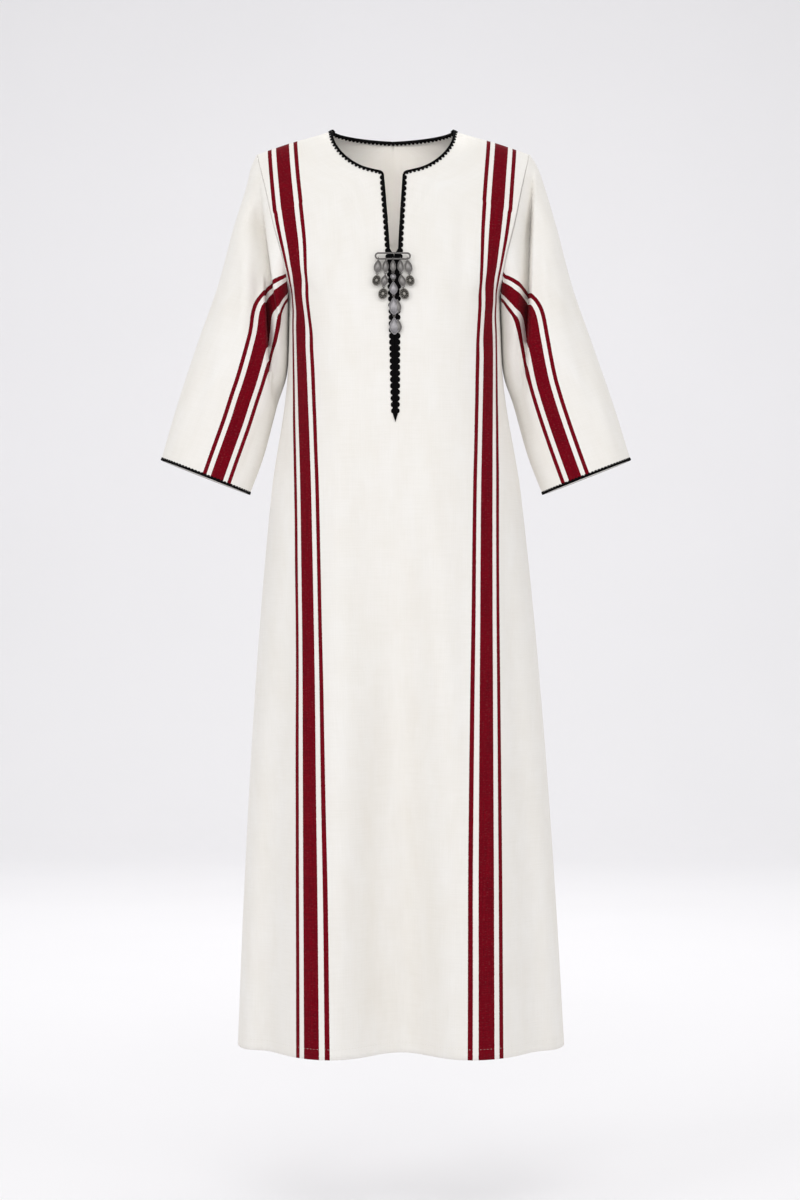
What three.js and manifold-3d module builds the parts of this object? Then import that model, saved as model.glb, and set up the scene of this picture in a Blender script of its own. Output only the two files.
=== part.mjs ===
// A kaftan dress, filled out as if worn, with three-quarter sleeves, a slit neck
// edged in scalloped braid, and a hanging brooch that holds the slit.
// Millimetres. +Z is up, -Y is the front and +X is the right of someone facing it.
// The origin lies midway between the two shoulder seams, at the height of their
// neck ends.

import * as THREE from "three";
import { mergeVertices } from "three/addons/utils/BufferGeometryUtils.js";
import Module from "manifold-3d";

// ---- driving dimensions ----------------------------------------------------

const LENGTH = 1368; // neck end of the shoulder seam to the hem
const NECK_HALF = 92; // half the width of the neck, at the shoulder seams
const SHOULDER_HALF = 204; // centre to the end of a shoulder seam
const SHOULDER_DROP = 39; // fall of a shoulder seam
const UNDERARM_Z = -254; // height of the underarm points
const LEAN = 12; // sideways drift of the hem
const WALL = 1.5; // thickness of the cloth
const HEM_DEPTH = 15; // width of the turned hem
const HEM_WALL = 2.8; // thickness of the turned hem
const SEAM_GAP = 0.3; // space between two pieces at a seam
const ARMHOLE_GAP = 0.45; // the same at the armholes, where the walls meet at a slant

const FRONT_NECK_DROP = 72; // fall of the front neck at the slit
const BACK_NECK_DROP = 11; // fall of the back neck at its centre
const SLIT_END_Z = -443; // foot of the slit

const SLEEVE_OUTER = { x: 351, z: -494 }; // outer end of the cuff line
const SLEEVE_INNER = { x: 220.5, z: -545 }; // inner end of the cuff line
const CUFF_DEPTH = 52; // half the front-to-back depth of the cuff

const BRAID_BAND = 3.5; // plain edge of the braid
const BRAID_TOOTH = 2.3; // reach of its scallops past the band
const BRAID_PITCH = 8.4; // one scallop to the next
const BRAID_THICK = 1.3;
const BRAID_LIFT = 0.45; // space between the braid and the cloth under it
const CUFF_BRAID_BAND = 3.2;
const CUFF_BRAID_TOOTH = 1.3;

const BAR_WIDTH = 53; // brooch link, side to side
const BAR_HEIGHT = 11;
const BAR_WIRE = 2.6; // diameter of its wire
const BAR_Z = -202; // height of its middle
const BAR_RING_RADIUS = 2.3; // jump rings on the bar, to the middle of the wire
const RING_RADIUS = 1.75; // the other jump rings and the eyes
const RING_WIRE = 0.5; // radius of their wire
const PLATE_BACK = 0.8; // a drop behind its middle plane
const PLATE_RIM = 0.2; // a drop's edge in front of that plane
const PLATE_DOME = 1.5; // a drop's crown in front of that plane
const DOME_SHOULDER = 0.62; // size of the ring where its crown begins
const BACKING_SHARE = 0.78; // size of a backing plate beside its drop
const BACKING_SET_BACK = 0.9; // how far it sits behind

// Columns run out from the centre, rows run down.
const COLUMNS = 14; // of each half panel
const YOKE_ROWS = 14; // from the shoulder to the underarm
const NECK_ROWS = { front: 6, back: 6 }; // of those, along the neck edge
const SLEEVE_ROWS = 14;
const FINE_STEPS = 160; // points that a curve is first worked out with

// The hanging body. At each height: half width, front and back depth, and the
// exponent that rounds the section (2 is an ellipse, more is boxier).
const BODY = [
  { z: 0, half: 262, front: 40, back: 56, round: 2.5 },
  { z: -85, half: 250, front: 80, back: 96, round: 2.5 },
  { z: -120, half: 243, front: 92, back: 103, round: 2.5 },
  { z: -160, half: 217, front: 103, back: 108, round: 2.5 },
  { z: -200, half: 186, front: 113, back: 110, round: 2.5 },
  { z: -230, half: 167, front: 119, back: 109, round: 2.5 },
  { z: -254, half: 158, front: 123, back: 108, round: 2.5 },
  { z: -300, half: 158.6, front: 128, back: 108, round: 2.4 },
  { z: -366, half: 161, front: 133, back: 109, round: 2.3 },
  { z: -546, half: 187, front: 146, back: 118, round: 2.1 },
  { z: -854, half: 215, front: 163, back: 133, round: 2.0 },
  { z: -1154, half: 234, front: 174, back: 147, round: 2.0 },
  { z: -1368, half: 244.5, front: 181, back: 158, round: 2.0 },
];

// Over the shoulders the depth follows the fall below the shoulder line.
const SHOULDER = [
  { fall: 0, front: 0, back: 0 },
  { fall: 4, front: 14, back: 18 },
  { fall: 12, front: 25, back: 33 },
  { fall: 25, front: 36, back: 47 },
  { fall: 45, front: 48, back: 63 },
  { fall: 70, front: 60, back: 77 },
  { fall: 100, front: 72, back: 90 },
  { fall: 150, front: 89, back: 102 },
  { fall: 210, front: 106, back: 108 },
  { fall: 290, front: 123, back: 108 },
];
const SHOULDER_END = { top: -60, foot: -250 }; // where it gives way to BODY

// Front neck curve, right half, from the shoulder seam to the slit.
const FRONT_NECK = [
  { x: NECK_HALF, z: 0 },
  { x: 86, z: -24 },
  { x: 70, z: -46 },
  { x: 47, z: -62 },
  { x: 14.5, z: -FRONT_NECK_DROP },
];

// Half the opening of the slit by height.
const SLIT = [
  { z: -FRONT_NECK_DROP, half: 14.5 },
  { z: -120, half: 11 },
  { z: -180, half: 7.2 },
  { z: -254, half: 4 },
  { z: -336, half: 1.2 },
  { z: SLIT_END_Z, half: 0.6 },
];

// Armhole seam, from the end of the shoulder seam to the underarm.
const ARMHOLE = [
  { x: SHOULDER_HALF, z: -SHOULDER_DROP },
  { x: 192, z: -85 },
  { x: 178, z: -148 },
  { x: 163.5, z: -205 },
  { x: 159, z: -240 },
  { x: 158, z: UNDERARM_Z },
];

// Soft folds that hang down the body: where each starts, its distance from the
// centre there and at the hem, and its depth (in is +) and half width at the hem.
const FRONT_FOLDS = [
  { start: -380, top: 0, foot: 0, depth: 96, half: 62 },
  { start: -640, top: -172, foot: -212, depth: 44, half: 46 },
  { start: -640, top: 176, foot: 214, depth: 34, half: 44 },
];
const BACK_FOLDS = [
  { start: -330, top: -34, foot: -62, depth: 48, half: 48 },
  { start: -420, top: 40, foot: 74, depth: 56, half: 52 },
  { start: -600, top: -140, foot: -178, depth: 36, half: 44 },
  { start: -640, top: 146, foot: 186, depth: 34, half: 42 },
];
const FOLD_TOP_SHARE = 0.6; // a fold's width at its start, as a share of that at the hem
const FOLD_ONSET = 0.8; // how soon a fold deepens below its start
const FOLD_EDGE = 0.45; // share of the section's fullness where the side seams flatten folds

// Sleeve edges as seen from the front: the outer one from the shoulder point, the
// inner one from the underarm.
const SLEEVE_OUTER_EDGE = [
  { x: SHOULDER_HALF, z: -SHOULDER_DROP },
  { x: 212, z: -55 },
  { x: 220, z: -85 },
  { x: 238, z: -141 },
  { x: 263, z: -231 },
  { x: 295.5, z: -321 },
  { x: 326, z: -411 },
  SLEEVE_OUTER,
];
const SLEEVE_INNER_EDGE = [
  { x: 158.4, z: UNDERARM_Z },
  { x: 161.6, z: -300 },
  { x: 166, z: -366 },
  { x: 177.5, z: -410 },
  { x: 199, z: -488 },
  SLEEVE_INNER,
];
const SLEEVE_DEPTHS = [
  { along: 0, half: 78 },
  { along: 0.3, half: 71 },
  { along: 0.65, half: 60 },
  { along: 1, half: CUFF_DEPTH },
];
const SLEEVE_ROUND = 2.2;
const ARMHOLE_BLEND = 0.3; // share of the sleeve shaped by the armhole
// Drag folds that hang from the shoulder point down each sleeve.
const DRAG_FOLDS = [
  { side: -1, x: 201, top: -80, foot: -400, depth: 15, half: 17 },
  { side: 1, x: 204, top: -90, foot: -380, depth: 12, half: 18 },
];

// Hanging pieces of the brooch. Each hangs from the one named, or from the bar;
// x and z are its middle, and the outline is one of OUTLINES. Two of them have a
// backing plate that shows beside them, set over by this much.
const DROPS = [
  { name: "leaf_1", from: "bar", shape: "leaf", x: -21.6, z: -217.6, width: 10.8, height: 17 },
  { name: "leaf_2", from: "bar", shape: "leaf", x: -10.2, z: -217.6, width: 8.7, height: 17 },
  { name: "leaf_3", from: "bar", shape: "leaf", x: 0.3, z: -217.6, width: 9, height: 17 },
  { name: "leaf_4", from: "bar", shape: "leaf", x: 10.9, z: -217.6, width: 8.7, height: 17 },
  { name: "leaf_5", from: "bar", shape: "leaf", x: 22.4, z: -217.6, width: 10.8, height: 17 },
  { name: "coin_1", from: "leaf_1", shape: "coin", x: -24.2, z: -239.5, width: 13, height: 13.2 },
  { name: "coin_2", from: "leaf_5", shape: "coin", x: 26.2, z: -239.5, width: 13, height: 13.2 },
  { name: "drop_1", from: "leaf_2", shape: "drop", x: -11.6, z: -238.5, width: 9.8, height: 15 },
  { name: "drop_2", from: "leaf_4", shape: "drop", x: 12.9, z: -238.5, width: 9.8, height: 15 },
  { name: "coin_3", from: "drop_1", shape: "coin", x: -15.1, z: -259, width: 14.2, height: 14.2 },
  { name: "coin_4", from: "drop_2", shape: "coin", x: 17.9, z: -259, width: 14.2, height: 14.2 },
  { name: "bead", from: "leaf_3", shape: "coin", x: 0.5, z: -233, width: 8.4, height: 7.6 },
  { name: "drop_3", from: "bead", shape: "drop", x: 1, z: -250.5, width: 12.2, height: 18 },
  { name: "drop_4", from: "drop_3", shape: "drop", x: 1.6, z: -277.6, width: 14.6, height: 25, backing: 5 },
  { name: "drop_5", from: "drop_4", shape: "drop", x: 2.6, z: -306, width: 15, height: 24, backing: 5 },
];

// Half outlines from top to bottom: down is 0 to 1 of the height, out is 0 to 1 of
// half the width.
const OUTLINES = {
  leaf: [
    { down: 0, out: 0.16 },
    { down: 0.22, out: 0.62 },
    { down: 0.48, out: 1 },
    { down: 0.76, out: 0.68 },
    { down: 1, out: 0.14 },
  ],
  drop: [
    { down: 0, out: 0.14 },
    { down: 0.3, out: 0.5 },
    { down: 0.58, out: 0.94 },
    { down: 0.8, out: 0.9 },
    { down: 1, out: 0.24 },
  ],
  coin: [
    { down: 0, out: 0.22 },
    { down: 0.16, out: 0.74 },
    { down: 0.5, out: 1 },
    { down: 0.84, out: 0.74 },
    { down: 1, out: 0.22 },
  ],
};

const CLOTH = new THREE.MeshStandardMaterial({ color: 0xf0ede8, roughness: 0.95, metalness: 0 });
const BRAID = new THREE.MeshStandardMaterial({ color: 0x0b0a0c, roughness: 0.8, metalness: 0 });
const SILVER = new THREE.MeshStandardMaterial({ color: 0x9a968f, roughness: 0.4, metalness: 1 });

// ---- numbers and vectors ---------------------------------------------------

const mix = (a, b, t) => a + (b - a) * t;
const clamp = (t) => Math.min(1, Math.max(0, t));

function ease(from, to, value) {
  const t = clamp((value - from) / (to - from));
  return t * t * (3 - 2 * t);
}

// A smooth curve through one column of a table, against another column.
function read(table, key, column, at) {
  const rising = table[table.length - 1][key] > table[0][key];
  const x = table.map((row) => (rising ? row[key] : -row[key]));
  const y = table.map((row) => row[column]);
  const where = Math.min(x[x.length - 1], Math.max(x[0], rising ? at : -at));
  let i = 0;
  while (i < x.length - 2 && where > x[i + 1]) i += 1;
  const slope = (k) => (y[k + 1] - y[k]) / (x[k + 1] - x[k]);
  const bend = (k) => {
    if (k === 0) return slope(0);
    if (k === x.length - 1) return slope(k - 1);
    const before = slope(k - 1);
    const after = slope(k);
    return before * after <= 0 ? 0 : (2 * before * after) / (before + after);
  };
  const step = x[i + 1] - x[i];
  const t = (where - x[i]) / step;
  const u = 1 - t;
  const ends = y[i] * (1 + 2 * t) * u * u + y[i + 1] * (3 - 2 * t) * t * t;
  return ends + step * (bend(i) * t * u * u - bend(i + 1) * t * t * u);
}

// The part of a direction that is square to another, at length 1.
function squareTo(way, other) {
  const unit = other.clone().normalize();
  return way.addScaledVector(unit, -way.dot(unit)).normalize();
}

// Points evenly spaced along a smooth curve through a table's x and z.
function spaced(table, count, lift = () => 0) {
  const curve = new THREE.CatmullRomCurve3(
    table.map((p) => new THREE.Vector3(p.x, 0, p.z)),
    false,
    "centripetal",
  );
  const fine = curve.getPoints(FINE_STEPS).map((p) => p.setY(lift(p.x, p.z)));
  return evenly(fine, count);
}

// The same polyline cut into equal lengths.
function evenly(line, count) {
  const run = [0];
  for (let i = 1; i < line.length; i += 1) {
    run.push(run[i - 1] + line[i].distanceTo(line[i - 1]));
  }
  const total = run[run.length - 1];
  const out = [];
  let i = 1;
  for (let k = 0; k <= count; k += 1) {
    const goal = (total * k) / count;
    while (i < line.length - 1 && run[i] < goal) i += 1;
    const t = clamp((goal - run[i - 1]) / (run[i] - run[i - 1]));
    out.push(line[i - 1].clone().lerp(line[i], t));
  }
  return out;
}

// ---- the form of the body --------------------------------------------------

const lean = (z) => (LEAN * clamp(-z / LENGTH));
const shoulderLine = (x) => ((NECK_HALF - Math.abs(x)) * SHOULDER_DROP) / (SHOULDER_HALF - NECK_HALF);

function fold(folds, x, z) {
  let depth = 0;
  for (const f of folds) {
    const down = clamp((z - f.start) / (-LENGTH - f.start));
    const centre = mix(f.top, f.foot, down);
    const half = f.half * mix(FOLD_TOP_SHARE, 1, down);
    const across = (x - centre) / half;
    depth += f.depth * ease(0, 1, down) ** FOLD_ONSET * Math.exp(-across * across);
  }
  return depth;
}

// Depth of the front (-) or back (+) cloth at x from the centre, before the lean.
function bodyY(side, x, z) {
  const column = side < 0 ? "front" : "back";
  const fall = Math.max(0, shoulderLine(x) - z);
  const over = read(SHOULDER, "fall", column, fall);
  const hanging = read(BODY, "z", column, z);
  const depth = mix(over, hanging, ease(SHOULDER_END.top, SHOULDER_END.foot, z));
  const half = read(BODY, "z", "half", z);
  const round = read(BODY, "z", "round", z);
  const share = clamp(1 - (Math.abs(x) / half) ** round);
  const rounded = depth * share ** (1 / round);
  const folds = fold(side < 0 ? FRONT_FOLDS : BACK_FOLDS, x, z);
  const kept = ease(0, FOLD_EDGE, share);
  return side * Math.max(0, rounded - folds * kept);
}

// One level row of a half panel, evenly spaced over the cloth from centre to side.
function levelRow(side, hand, z, inner) {
  const half = read(BODY, "z", "half", z);
  const fine = [];
  for (let k = 0; k <= FINE_STEPS; k += 1) {
    const x = mix(inner, half, Math.sin((Math.PI / 2) * (k / FINE_STEPS)));
    fine.push(new THREE.Vector3(hand * x, bodyY(side, hand * x, z), z));
  }
  const row = evenly(fine, COLUMNS);
  row[COLUMNS].set(hand * half, (side * SEAM_GAP) / 2, z);
  return row;
}

function armhole(side, hand) {
  const points = spaced(ARMHOLE, YOKE_ROWS, (x, z) => bodyY(side, hand * x, z));
  for (const p of points) p.x *= hand;
  points[0].y = (side * SEAM_GAP) / 2;
  points[YOKE_ROWS].y = (side * SEAM_GAP) / 2;
  return points;
}

// Neck edge of a half panel, from the shoulder seam to the centre or the slit.
function neckEdge(side) {
  if (side < 0) return spaced(FRONT_NECK, NECK_ROWS.front, (x, z) => bodyY(side, x, z));
  const curve = [];
  for (let k = 0; k <= FINE_STEPS; k += 1) {
    const turn = (Math.PI / 2) * (1 - k / FINE_STEPS);
    const x = NECK_HALF * Math.sin(turn);
    const z = -BACK_NECK_DROP * Math.cos(turn) ** 1.4;
    curve.push(new THREE.Vector3(x, bodyY(side, x, z), z));
  }
  return evenly(curve, NECK_ROWS.back);
}

// Rows of a half panel from the shoulder seam down to the underarm. As seen from
// the front each row is straight, from the neck edge or the centre to the armhole.
function yoke(side, hand) {
  const inner = neckEdge(side);
  for (const p of inner) p.x *= hand;
  const below = YOKE_ROWS - (inner.length - 1);
  const neckFoot = inner[inner.length - 1].z;
  for (let i = 1; i <= below; i += 1) {
    const z = mix(neckFoot, UNDERARM_Z, i / below);
    const x = side < 0 ? hand * read(SLIT, "z", "half", z) : 0;
    inner.push(new THREE.Vector3(x, bodyY(side, x, z), z));
  }
  const outer = armhole(side, hand);
  const rows = inner.map((start, i) => {
    const row = [start];
    for (let j = 1; j < COLUMNS; j += 1) {
      const x = mix(start.x, outer[i].x, j / COLUMNS);
      const z = mix(start.z, outer[i].z, j / COLUMNS);
      const y = i === 0 ? (side * SEAM_GAP) / 2 : bodyY(side, x, z);
      row.push(new THREE.Vector3(x, y, z));
    }
    row.push(outer[i]);
    return row;
  });
  rows[0][0].y = (side * SEAM_GAP) / 2;
  rows[YOKE_ROWS] = levelRow(side, hand, UNDERARM_Z, Math.abs(inner[YOKE_ROWS].x));
  return rows;
}

// ---- closed walls from points ----------------------------------------------

// A wall between the outer points and the same points moved in along their
// normals. Its open edges are closed by a rim.
function wall(points, quads, options) {
  const facing = options.facing;
  const normals = points.map(() => new THREE.Vector3());
  for (const [a, b, c, d] of quads) {
    const one = points[c].clone().sub(points[a]);
    const two = points[d].clone().sub(points[b]);
    const n = one.cross(two);
    for (const k of [a, b, c, d]) normals[k].add(n);
  }
  const middle = Math.floor(quads.length / 2);
  const flip = normals[quads[middle][0]].dot(facing(points[quads[middle][0]])) < 0;
  const sign = flip ? -1 : 1;
  for (const n of normals) n.multiplyScalar(sign).normalize();
  for (const [k, n] of options.seams) normals[k].copy(n).normalize();
  const thick = options.thick ?? (() => WALL);
  const count = points.length;
  const inner = points.map((p, k) => p.clone().addScaledVector(normals[k], -thick(p)));
  const all = [...points, ...inner];
  const faces = [];
  const edges = new Map();
  const put = (a, b, c) => faces.push(flip ? [a, c, b] : [a, b, c]);
  for (const [a, b, c, d] of quads) {
    put(a, b, c);
    put(a, c, d);
    put(a + count, c + count, b + count);
    put(a + count, d + count, c + count);
    for (const [p, q] of [[a, b], [b, c], [c, d], [d, a]]) {
      if (edges.has(`${q},${p}`)) edges.delete(`${q},${p}`);
      else edges.set(`${p},${q}`, [p, q]);
    }
  }
  for (const [p, q] of edges.values()) {
    put(p, p + count, q + count);
    put(p, q + count, q);
  }
  return { geometry: solid(all, faces), points, normals };
}

function solid(points, faces) {
  const geometry = new THREE.BufferGeometry();
  const positions = points.flatMap((p) => [p.x, p.y, p.z]);
  geometry.setAttribute("position", new THREE.Float32BufferAttribute(positions, 3));
  geometry.setIndex(faces.flat());
  geometry.computeVertexNormals();
  return geometry;
}

const wasm = await Module();
wasm.setup();

function toManifold(geometry) {
  const plain = geometry.clone();
  plain.deleteAttribute("normal");
  plain.deleteAttribute("uv");
  const merged = mergeVertices(plain);
  const vertProperties = new Float32Array(merged.attributes.position.array);
  const triVerts = new Uint32Array(merged.index.array);
  return new wasm.Manifold(new wasm.Mesh({ numProp: 3, vertProperties, triVerts }));
}

function fromManifold(body) {
  const mesh = body.getMesh();
  const geometry = new THREE.BufferGeometry();
  geometry.setAttribute("position", new THREE.Float32BufferAttribute(mesh.vertProperties, 3));
  geometry.setIndex([...mesh.triVerts]);
  geometry.computeVertexNormals();
  return geometry;
}

// ---- front and back --------------------------------------------------------

// The direction a wall is moved at a seam with a sleeve: halfway between the two
// where they turn round the outside, and the wall's own where they face each other.
function seamNormal(own, other) {
  const both = own.clone().add(other);
  const shared = both.lengthSq() > 0.01 ? both.normalize() : own;
  return own.clone().lerp(shared, ease(-0.6, 0.1, own.dot(other))).normalize();
}

const hemWall = (p) => (p.z < -LENGTH + HEM_DEPTH + 0.5 ? HEM_WALL : WALL);

const rowHeights = {
  front: [-295, -336, -390, SLIT_END_Z, -530, -640, -760, -880, -1000, -1120, -1240],
  back: [-320, -400, -490, -600, -720, -850, -980, -1110, -1240],
};

function panel(side) {
  const heights = [
    ...rowHeights[side < 0 ? "front" : "back"],
    -LENGTH + HEM_DEPTH + 3,
    -LENGTH + HEM_DEPTH,
    -LENGTH,
  ];
  const halves = [-1, 1].map((hand) => {
    const rows = yoke(side, hand);
    for (const z of heights) {
      const open = side < 0 && z > SLIT_END_Z;
      rows.push(levelRow(side, hand, z, open ? read(SLIT, "z", "half", z) : 0));
    }
    return rows;
  });
  for (const rows of halves) {
    for (const row of rows) {
      for (const p of row) p.x += lean(p.z);
    }
  }
  const joinedFrom = side < 0 ? YOKE_ROWS + 1 + heights.indexOf(SLIT_END_Z) : NECK_ROWS.back;
  const points = [];
  const index = halves.map((rows, h) => rows.map((row, i) => row.map((p, j) => {
    if (h === 1 && j === 0 && i >= joinedFrom) return [i];
    points.push(p);
    return points.length - 1;
  })));
  index[1].forEach((row, i) => {
    if (Array.isArray(row[0])) row[0] = index[0][i][0];
  });
  const quads = [];
  index.forEach((rows, h) => {
    for (let i = 0; i < rows.length - 1; i += 1) {
      for (let j = 0; j < COLUMNS; j += 1) {
        const ring = [rows[i][j], rows[i][j + 1], rows[i + 1][j + 1], rows[i + 1][j]];
        quads.push(h === 0 ? ring : ring.reverse());
      }
    }
  });
  return { side, halves, index, points, quads, joinedFrom };
}

// ---- sleeves ---------------------------------------------------------------

// Rings of one sleeve, from the armhole to the cuff. Point 0 of a ring is on its
// outer edge, and the ring runs down the front and back up the rear.
function sleeveRings(hand) {
  const across = 2 * YOKE_ROWS;
  const outer = spaced(SLEEVE_OUTER_EDGE, SLEEVE_ROWS);
  const inner = spaced(SLEEVE_INNER_EDGE, SLEEVE_ROWS);
  const front = armhole(-1, hand);
  const back = armhole(1, hand);
  const plain = (i, m) => {
    const v = i / SLEEVE_ROWS;
    const depth = read(SLEEVE_DEPTHS, "along", "half", v);
    const angle = (2 * Math.PI * m) / across;
    const c = Math.cos(angle);
    const s = Math.sin(angle);
    const power = 2 / SLEEVE_ROUND;
    const along = (1 - Math.sign(c) * Math.abs(c) ** power) / 2;
    const p = outer[i].clone().lerp(inner[i], along);
    p.x *= hand;
    p.y = -Math.sign(s) * Math.abs(s) ** power * depth;
    return p;
  };
  const start = [];
  for (let m = 0; m < across; m += 1) {
    const p = m <= YOKE_ROWS ? front[m].clone() : back[across - m].clone();
    if (m === 0 || m === YOKE_ROWS) p.y = 0;
    start.push(p);
  }
  const rings = [];
  for (let i = 0; i <= SLEEVE_ROWS; i += 1) {
    const kept = 1 - ease(0, ARMHOLE_BLEND, i / SLEEVE_ROWS);
    const ring = start.map((p, m) => {
      const away = p.clone().sub(plain(0, m)).multiplyScalar(kept);
      const q = plain(i, m).add(away);
      q.y += dragFold(hand, q) * ease(0, 0.1, i / SLEEVE_ROWS);
      q.x += lean(q.z);
      return q;
    });
    rings.push(ring);
  }
  return rings;
}

function dragFold(hand, p) {
  let depth = 0;
  for (const f of DRAG_FOLDS) {
    if (f.side === hand) {
      const across = (Math.abs(p.x) - f.x) / f.half;
      const window = ease(f.top, f.top - 70, p.z) * ease(f.foot, f.foot + 150, p.z);
      depth += f.depth * window * Math.exp(-across * across);
    }
  }
  return -Math.sign(p.y) * depth * ease(20, 50, Math.abs(p.y));
}

// The first ring steps back from the body by the seam gap, along the sleeve.
function sleeveGrid(hand) {
  const rings = sleeveRings(hand);
  const onSeam = rings[0].map((p) => p.clone());
  const across = onSeam.length;
  const sideways = new THREE.Vector3(hand, 0, 0);
  rings[0] = onSeam.map((p, m) => {
    const along = onSeam[(m + 1) % across].clone().sub(onSeam[(m + across - 1) % across]);
    const step = squareTo(rings[1][m].clone().sub(p), along);
    const underarm = clamp(1 - Math.abs(m - YOKE_ROWS) / 2);
    return p.clone().addScaledVector(step.lerp(sideways, underarm).normalize(), ARMHOLE_GAP);
  });
  const quads = [];
  for (let i = 0; i < SLEEVE_ROWS; i += 1) {
    for (let m = 0; m < across; m += 1) {
      const next = (m + 1) % across;
      const a = i * across;
      quads.push([a + m, a + next, a + across + next, a + across + m]);
    }
  }
  return { hand, rings, onSeam, points: rings.flat(), quads, across };
}

function gridNormals(grid, facing) {
  return wall(grid.points, grid.quads, { facing, seams: new Map() }).normals;
}

const outFromSleeve = (hand) => (p) => new THREE.Vector3(hand * 0.9, p.y * 0.02, 0.3);
const outFromBody = (side) => () => new THREE.Vector3(0, side, 0);

function buildCloth() {
  const panels = [-1, 1].map((side) => panel(side));
  const sleeves = [-1, 1].map((hand) => sleeveGrid(hand));
  const panelNormals = panels.map((p) => gridNormals(p, outFromBody(p.side)));
  const sleeveNormals = sleeves.map((s) => gridNormals(s, outFromSleeve(s.hand)));
  const panelSeams = panels.map(() => new Map());
  const sleeveSeams = sleeves.map(() => new Map());
  panels.forEach((p, k) => {
    [-1, 1].forEach((hand, h) => {
      const rows = p.index[h];
      rows.forEach((row, i) => {
        if (i > YOKE_ROWS) {
          panelSeams[k].set(row[COLUMNS], new THREE.Vector3(hand, 0, 0));
        }
      });
      const seamUp = new THREE.Vector3(hand * SHOULDER_DROP, 0, SHOULDER_HALF - NECK_HALF);
      for (let j = 0; j < COLUMNS; j += 1) panelSeams[k].set(rows[0][j], seamUp);
      for (let i = 0; i <= YOKE_ROWS; i += 1) {
        const m = p.side < 0 || i === 0 ? i : (2 * YOKE_ROWS - i) % (2 * YOKE_ROWS);
        let own = panelNormals[k][rows[i][COLUMNS]];
        if (i === 0) own = seamUp.clone().normalize();
        if (i === YOKE_ROWS) own = new THREE.Vector3(hand, 0, 0);
        const other = sleeveNormals[h][m];
        panelSeams[k].set(rows[i][COLUMNS], seamNormal(own, other));
        sleeveSeams[h].set(m, seamNormal(other, own));
      }
    });
  });
  const walls = {};
  panels.forEach((p, k) => {
    const name = p.side < 0 ? "dress_front" : "dress_back";
    const options = { facing: outFromBody(p.side), seams: panelSeams[k], thick: hemWall };
    walls[name] = { ...p, ...wall(p.points, p.quads, options) };
  });
  sleeves.forEach((s, h) => {
    const name = s.hand < 0 ? "sleeve_right" : "sleeve_left";
    const options = { facing: outFromSleeve(s.hand), seams: sleeveSeams[h] };
    walls[name] = { ...s, ...wall(s.points, s.quads, options) };
  });
  return walls;
}

// ---- braid -----------------------------------------------------------------

// A stop on the edge of a panel: the edge point, the way in over the cloth and the
// way out from it.
function edgeStop(panelWall, edge, inside) {
  const p = panelWall.points[edge];
  const inward = panelWall.points[inside].clone().sub(p);
  return { p, inward, out: panelWall.normals[edge] };
}

// Stops with their way in turned square to the route. Where the route bends, the
// way out is longer, so that a strip moved out keeps its distance from the cloth.
function squared(stops, closed) {
  const count = stops.length;
  return stops.map((stop, k) => {
    const before = closed ? (k + count - 1) % count : Math.max(0, k - 1);
    const after = closed ? (k + 1) % count : Math.min(count - 1, k + 1);
    const along = stops[after].p.clone().sub(stops[before].p);
    const inward = squareTo(stop.inward.clone(), along);
    const out = squareTo(stop.out.clone(), inward);
    const next = stops[after].p.clone().sub(stop.p).normalize();
    const flat = squareTo(out.clone(), next.lengthSq() > 0 ? next : along);
    return { p: stop.p, inward, out: out.divideScalar(Math.max(0.6, out.dot(flat))) };
  });
}

// The stops down the inner edge of a half panel, from the shoulder seam. The first
// and the corner at the foot of the neck take their way in from a nearby point.
function halfRoute(panelWall, rows, last, corner) {
  const stops = [edgeStop(panelWall, rows[0][0], rows[0][1])];
  for (let i = 1; i <= last; i += 1) {
    const inside = i === corner ? rows[i + 1][1] : rows[i][1];
    stops.push(edgeStop(panelWall, rows[i][0], inside));
  }
  return stops;
}

function frontEdgeRoute(front) {
  const [left, right] = front.index.map(
    (rows) => halfRoute(front, rows, front.joinedFrom - 1, NECK_ROWS.front),
  );
  const rows = front.index[0];
  const tip = edgeStop(front, rows[front.joinedFrom][0], rows[front.joinedFrom + 1][0]);
  return squared([...left, tip, ...right.reverse()], false);
}

function backEdgeRoute(back) {
  const last = NECK_ROWS.back - 1;
  const [left, right] = back.index.map((rows) => halfRoute(back, rows, last, -1));
  const rows = back.index[0];
  const middle = edgeStop(back, rows[last + 1][0], rows[last + 2][0]);
  return squared([...left, middle, ...right.reverse()], false);
}

// Two sections a scallop, one in its valley and one on its peak. Each stop of the
// route is a section too, so that the braid bends where the cloth does.
function scallops(route, closed) {
  const line = closed ? [...route, route[0]] : route;
  const out = [];
  for (let i = 1; i < line.length; i += 1) {
    const [a, b] = [line[i - 1], line[i]];
    const steps = Math.max(1, Math.round((2 * a.p.distanceTo(b.p)) / BRAID_PITCH));
    for (let k = 0; k < steps; k += 1) {
      const t = k / steps;
      out.push({
        p: a.p.clone().lerp(b.p, t),
        inward: a.inward.clone().lerp(b.inward, t).normalize(),
        out: a.out.clone().lerp(b.out, t),
        peak: out.length % 2 === 1,
      });
    }
  }
  if (!closed) out.push({ ...route[route.length - 1], peak: false });
  return out;
}

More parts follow.
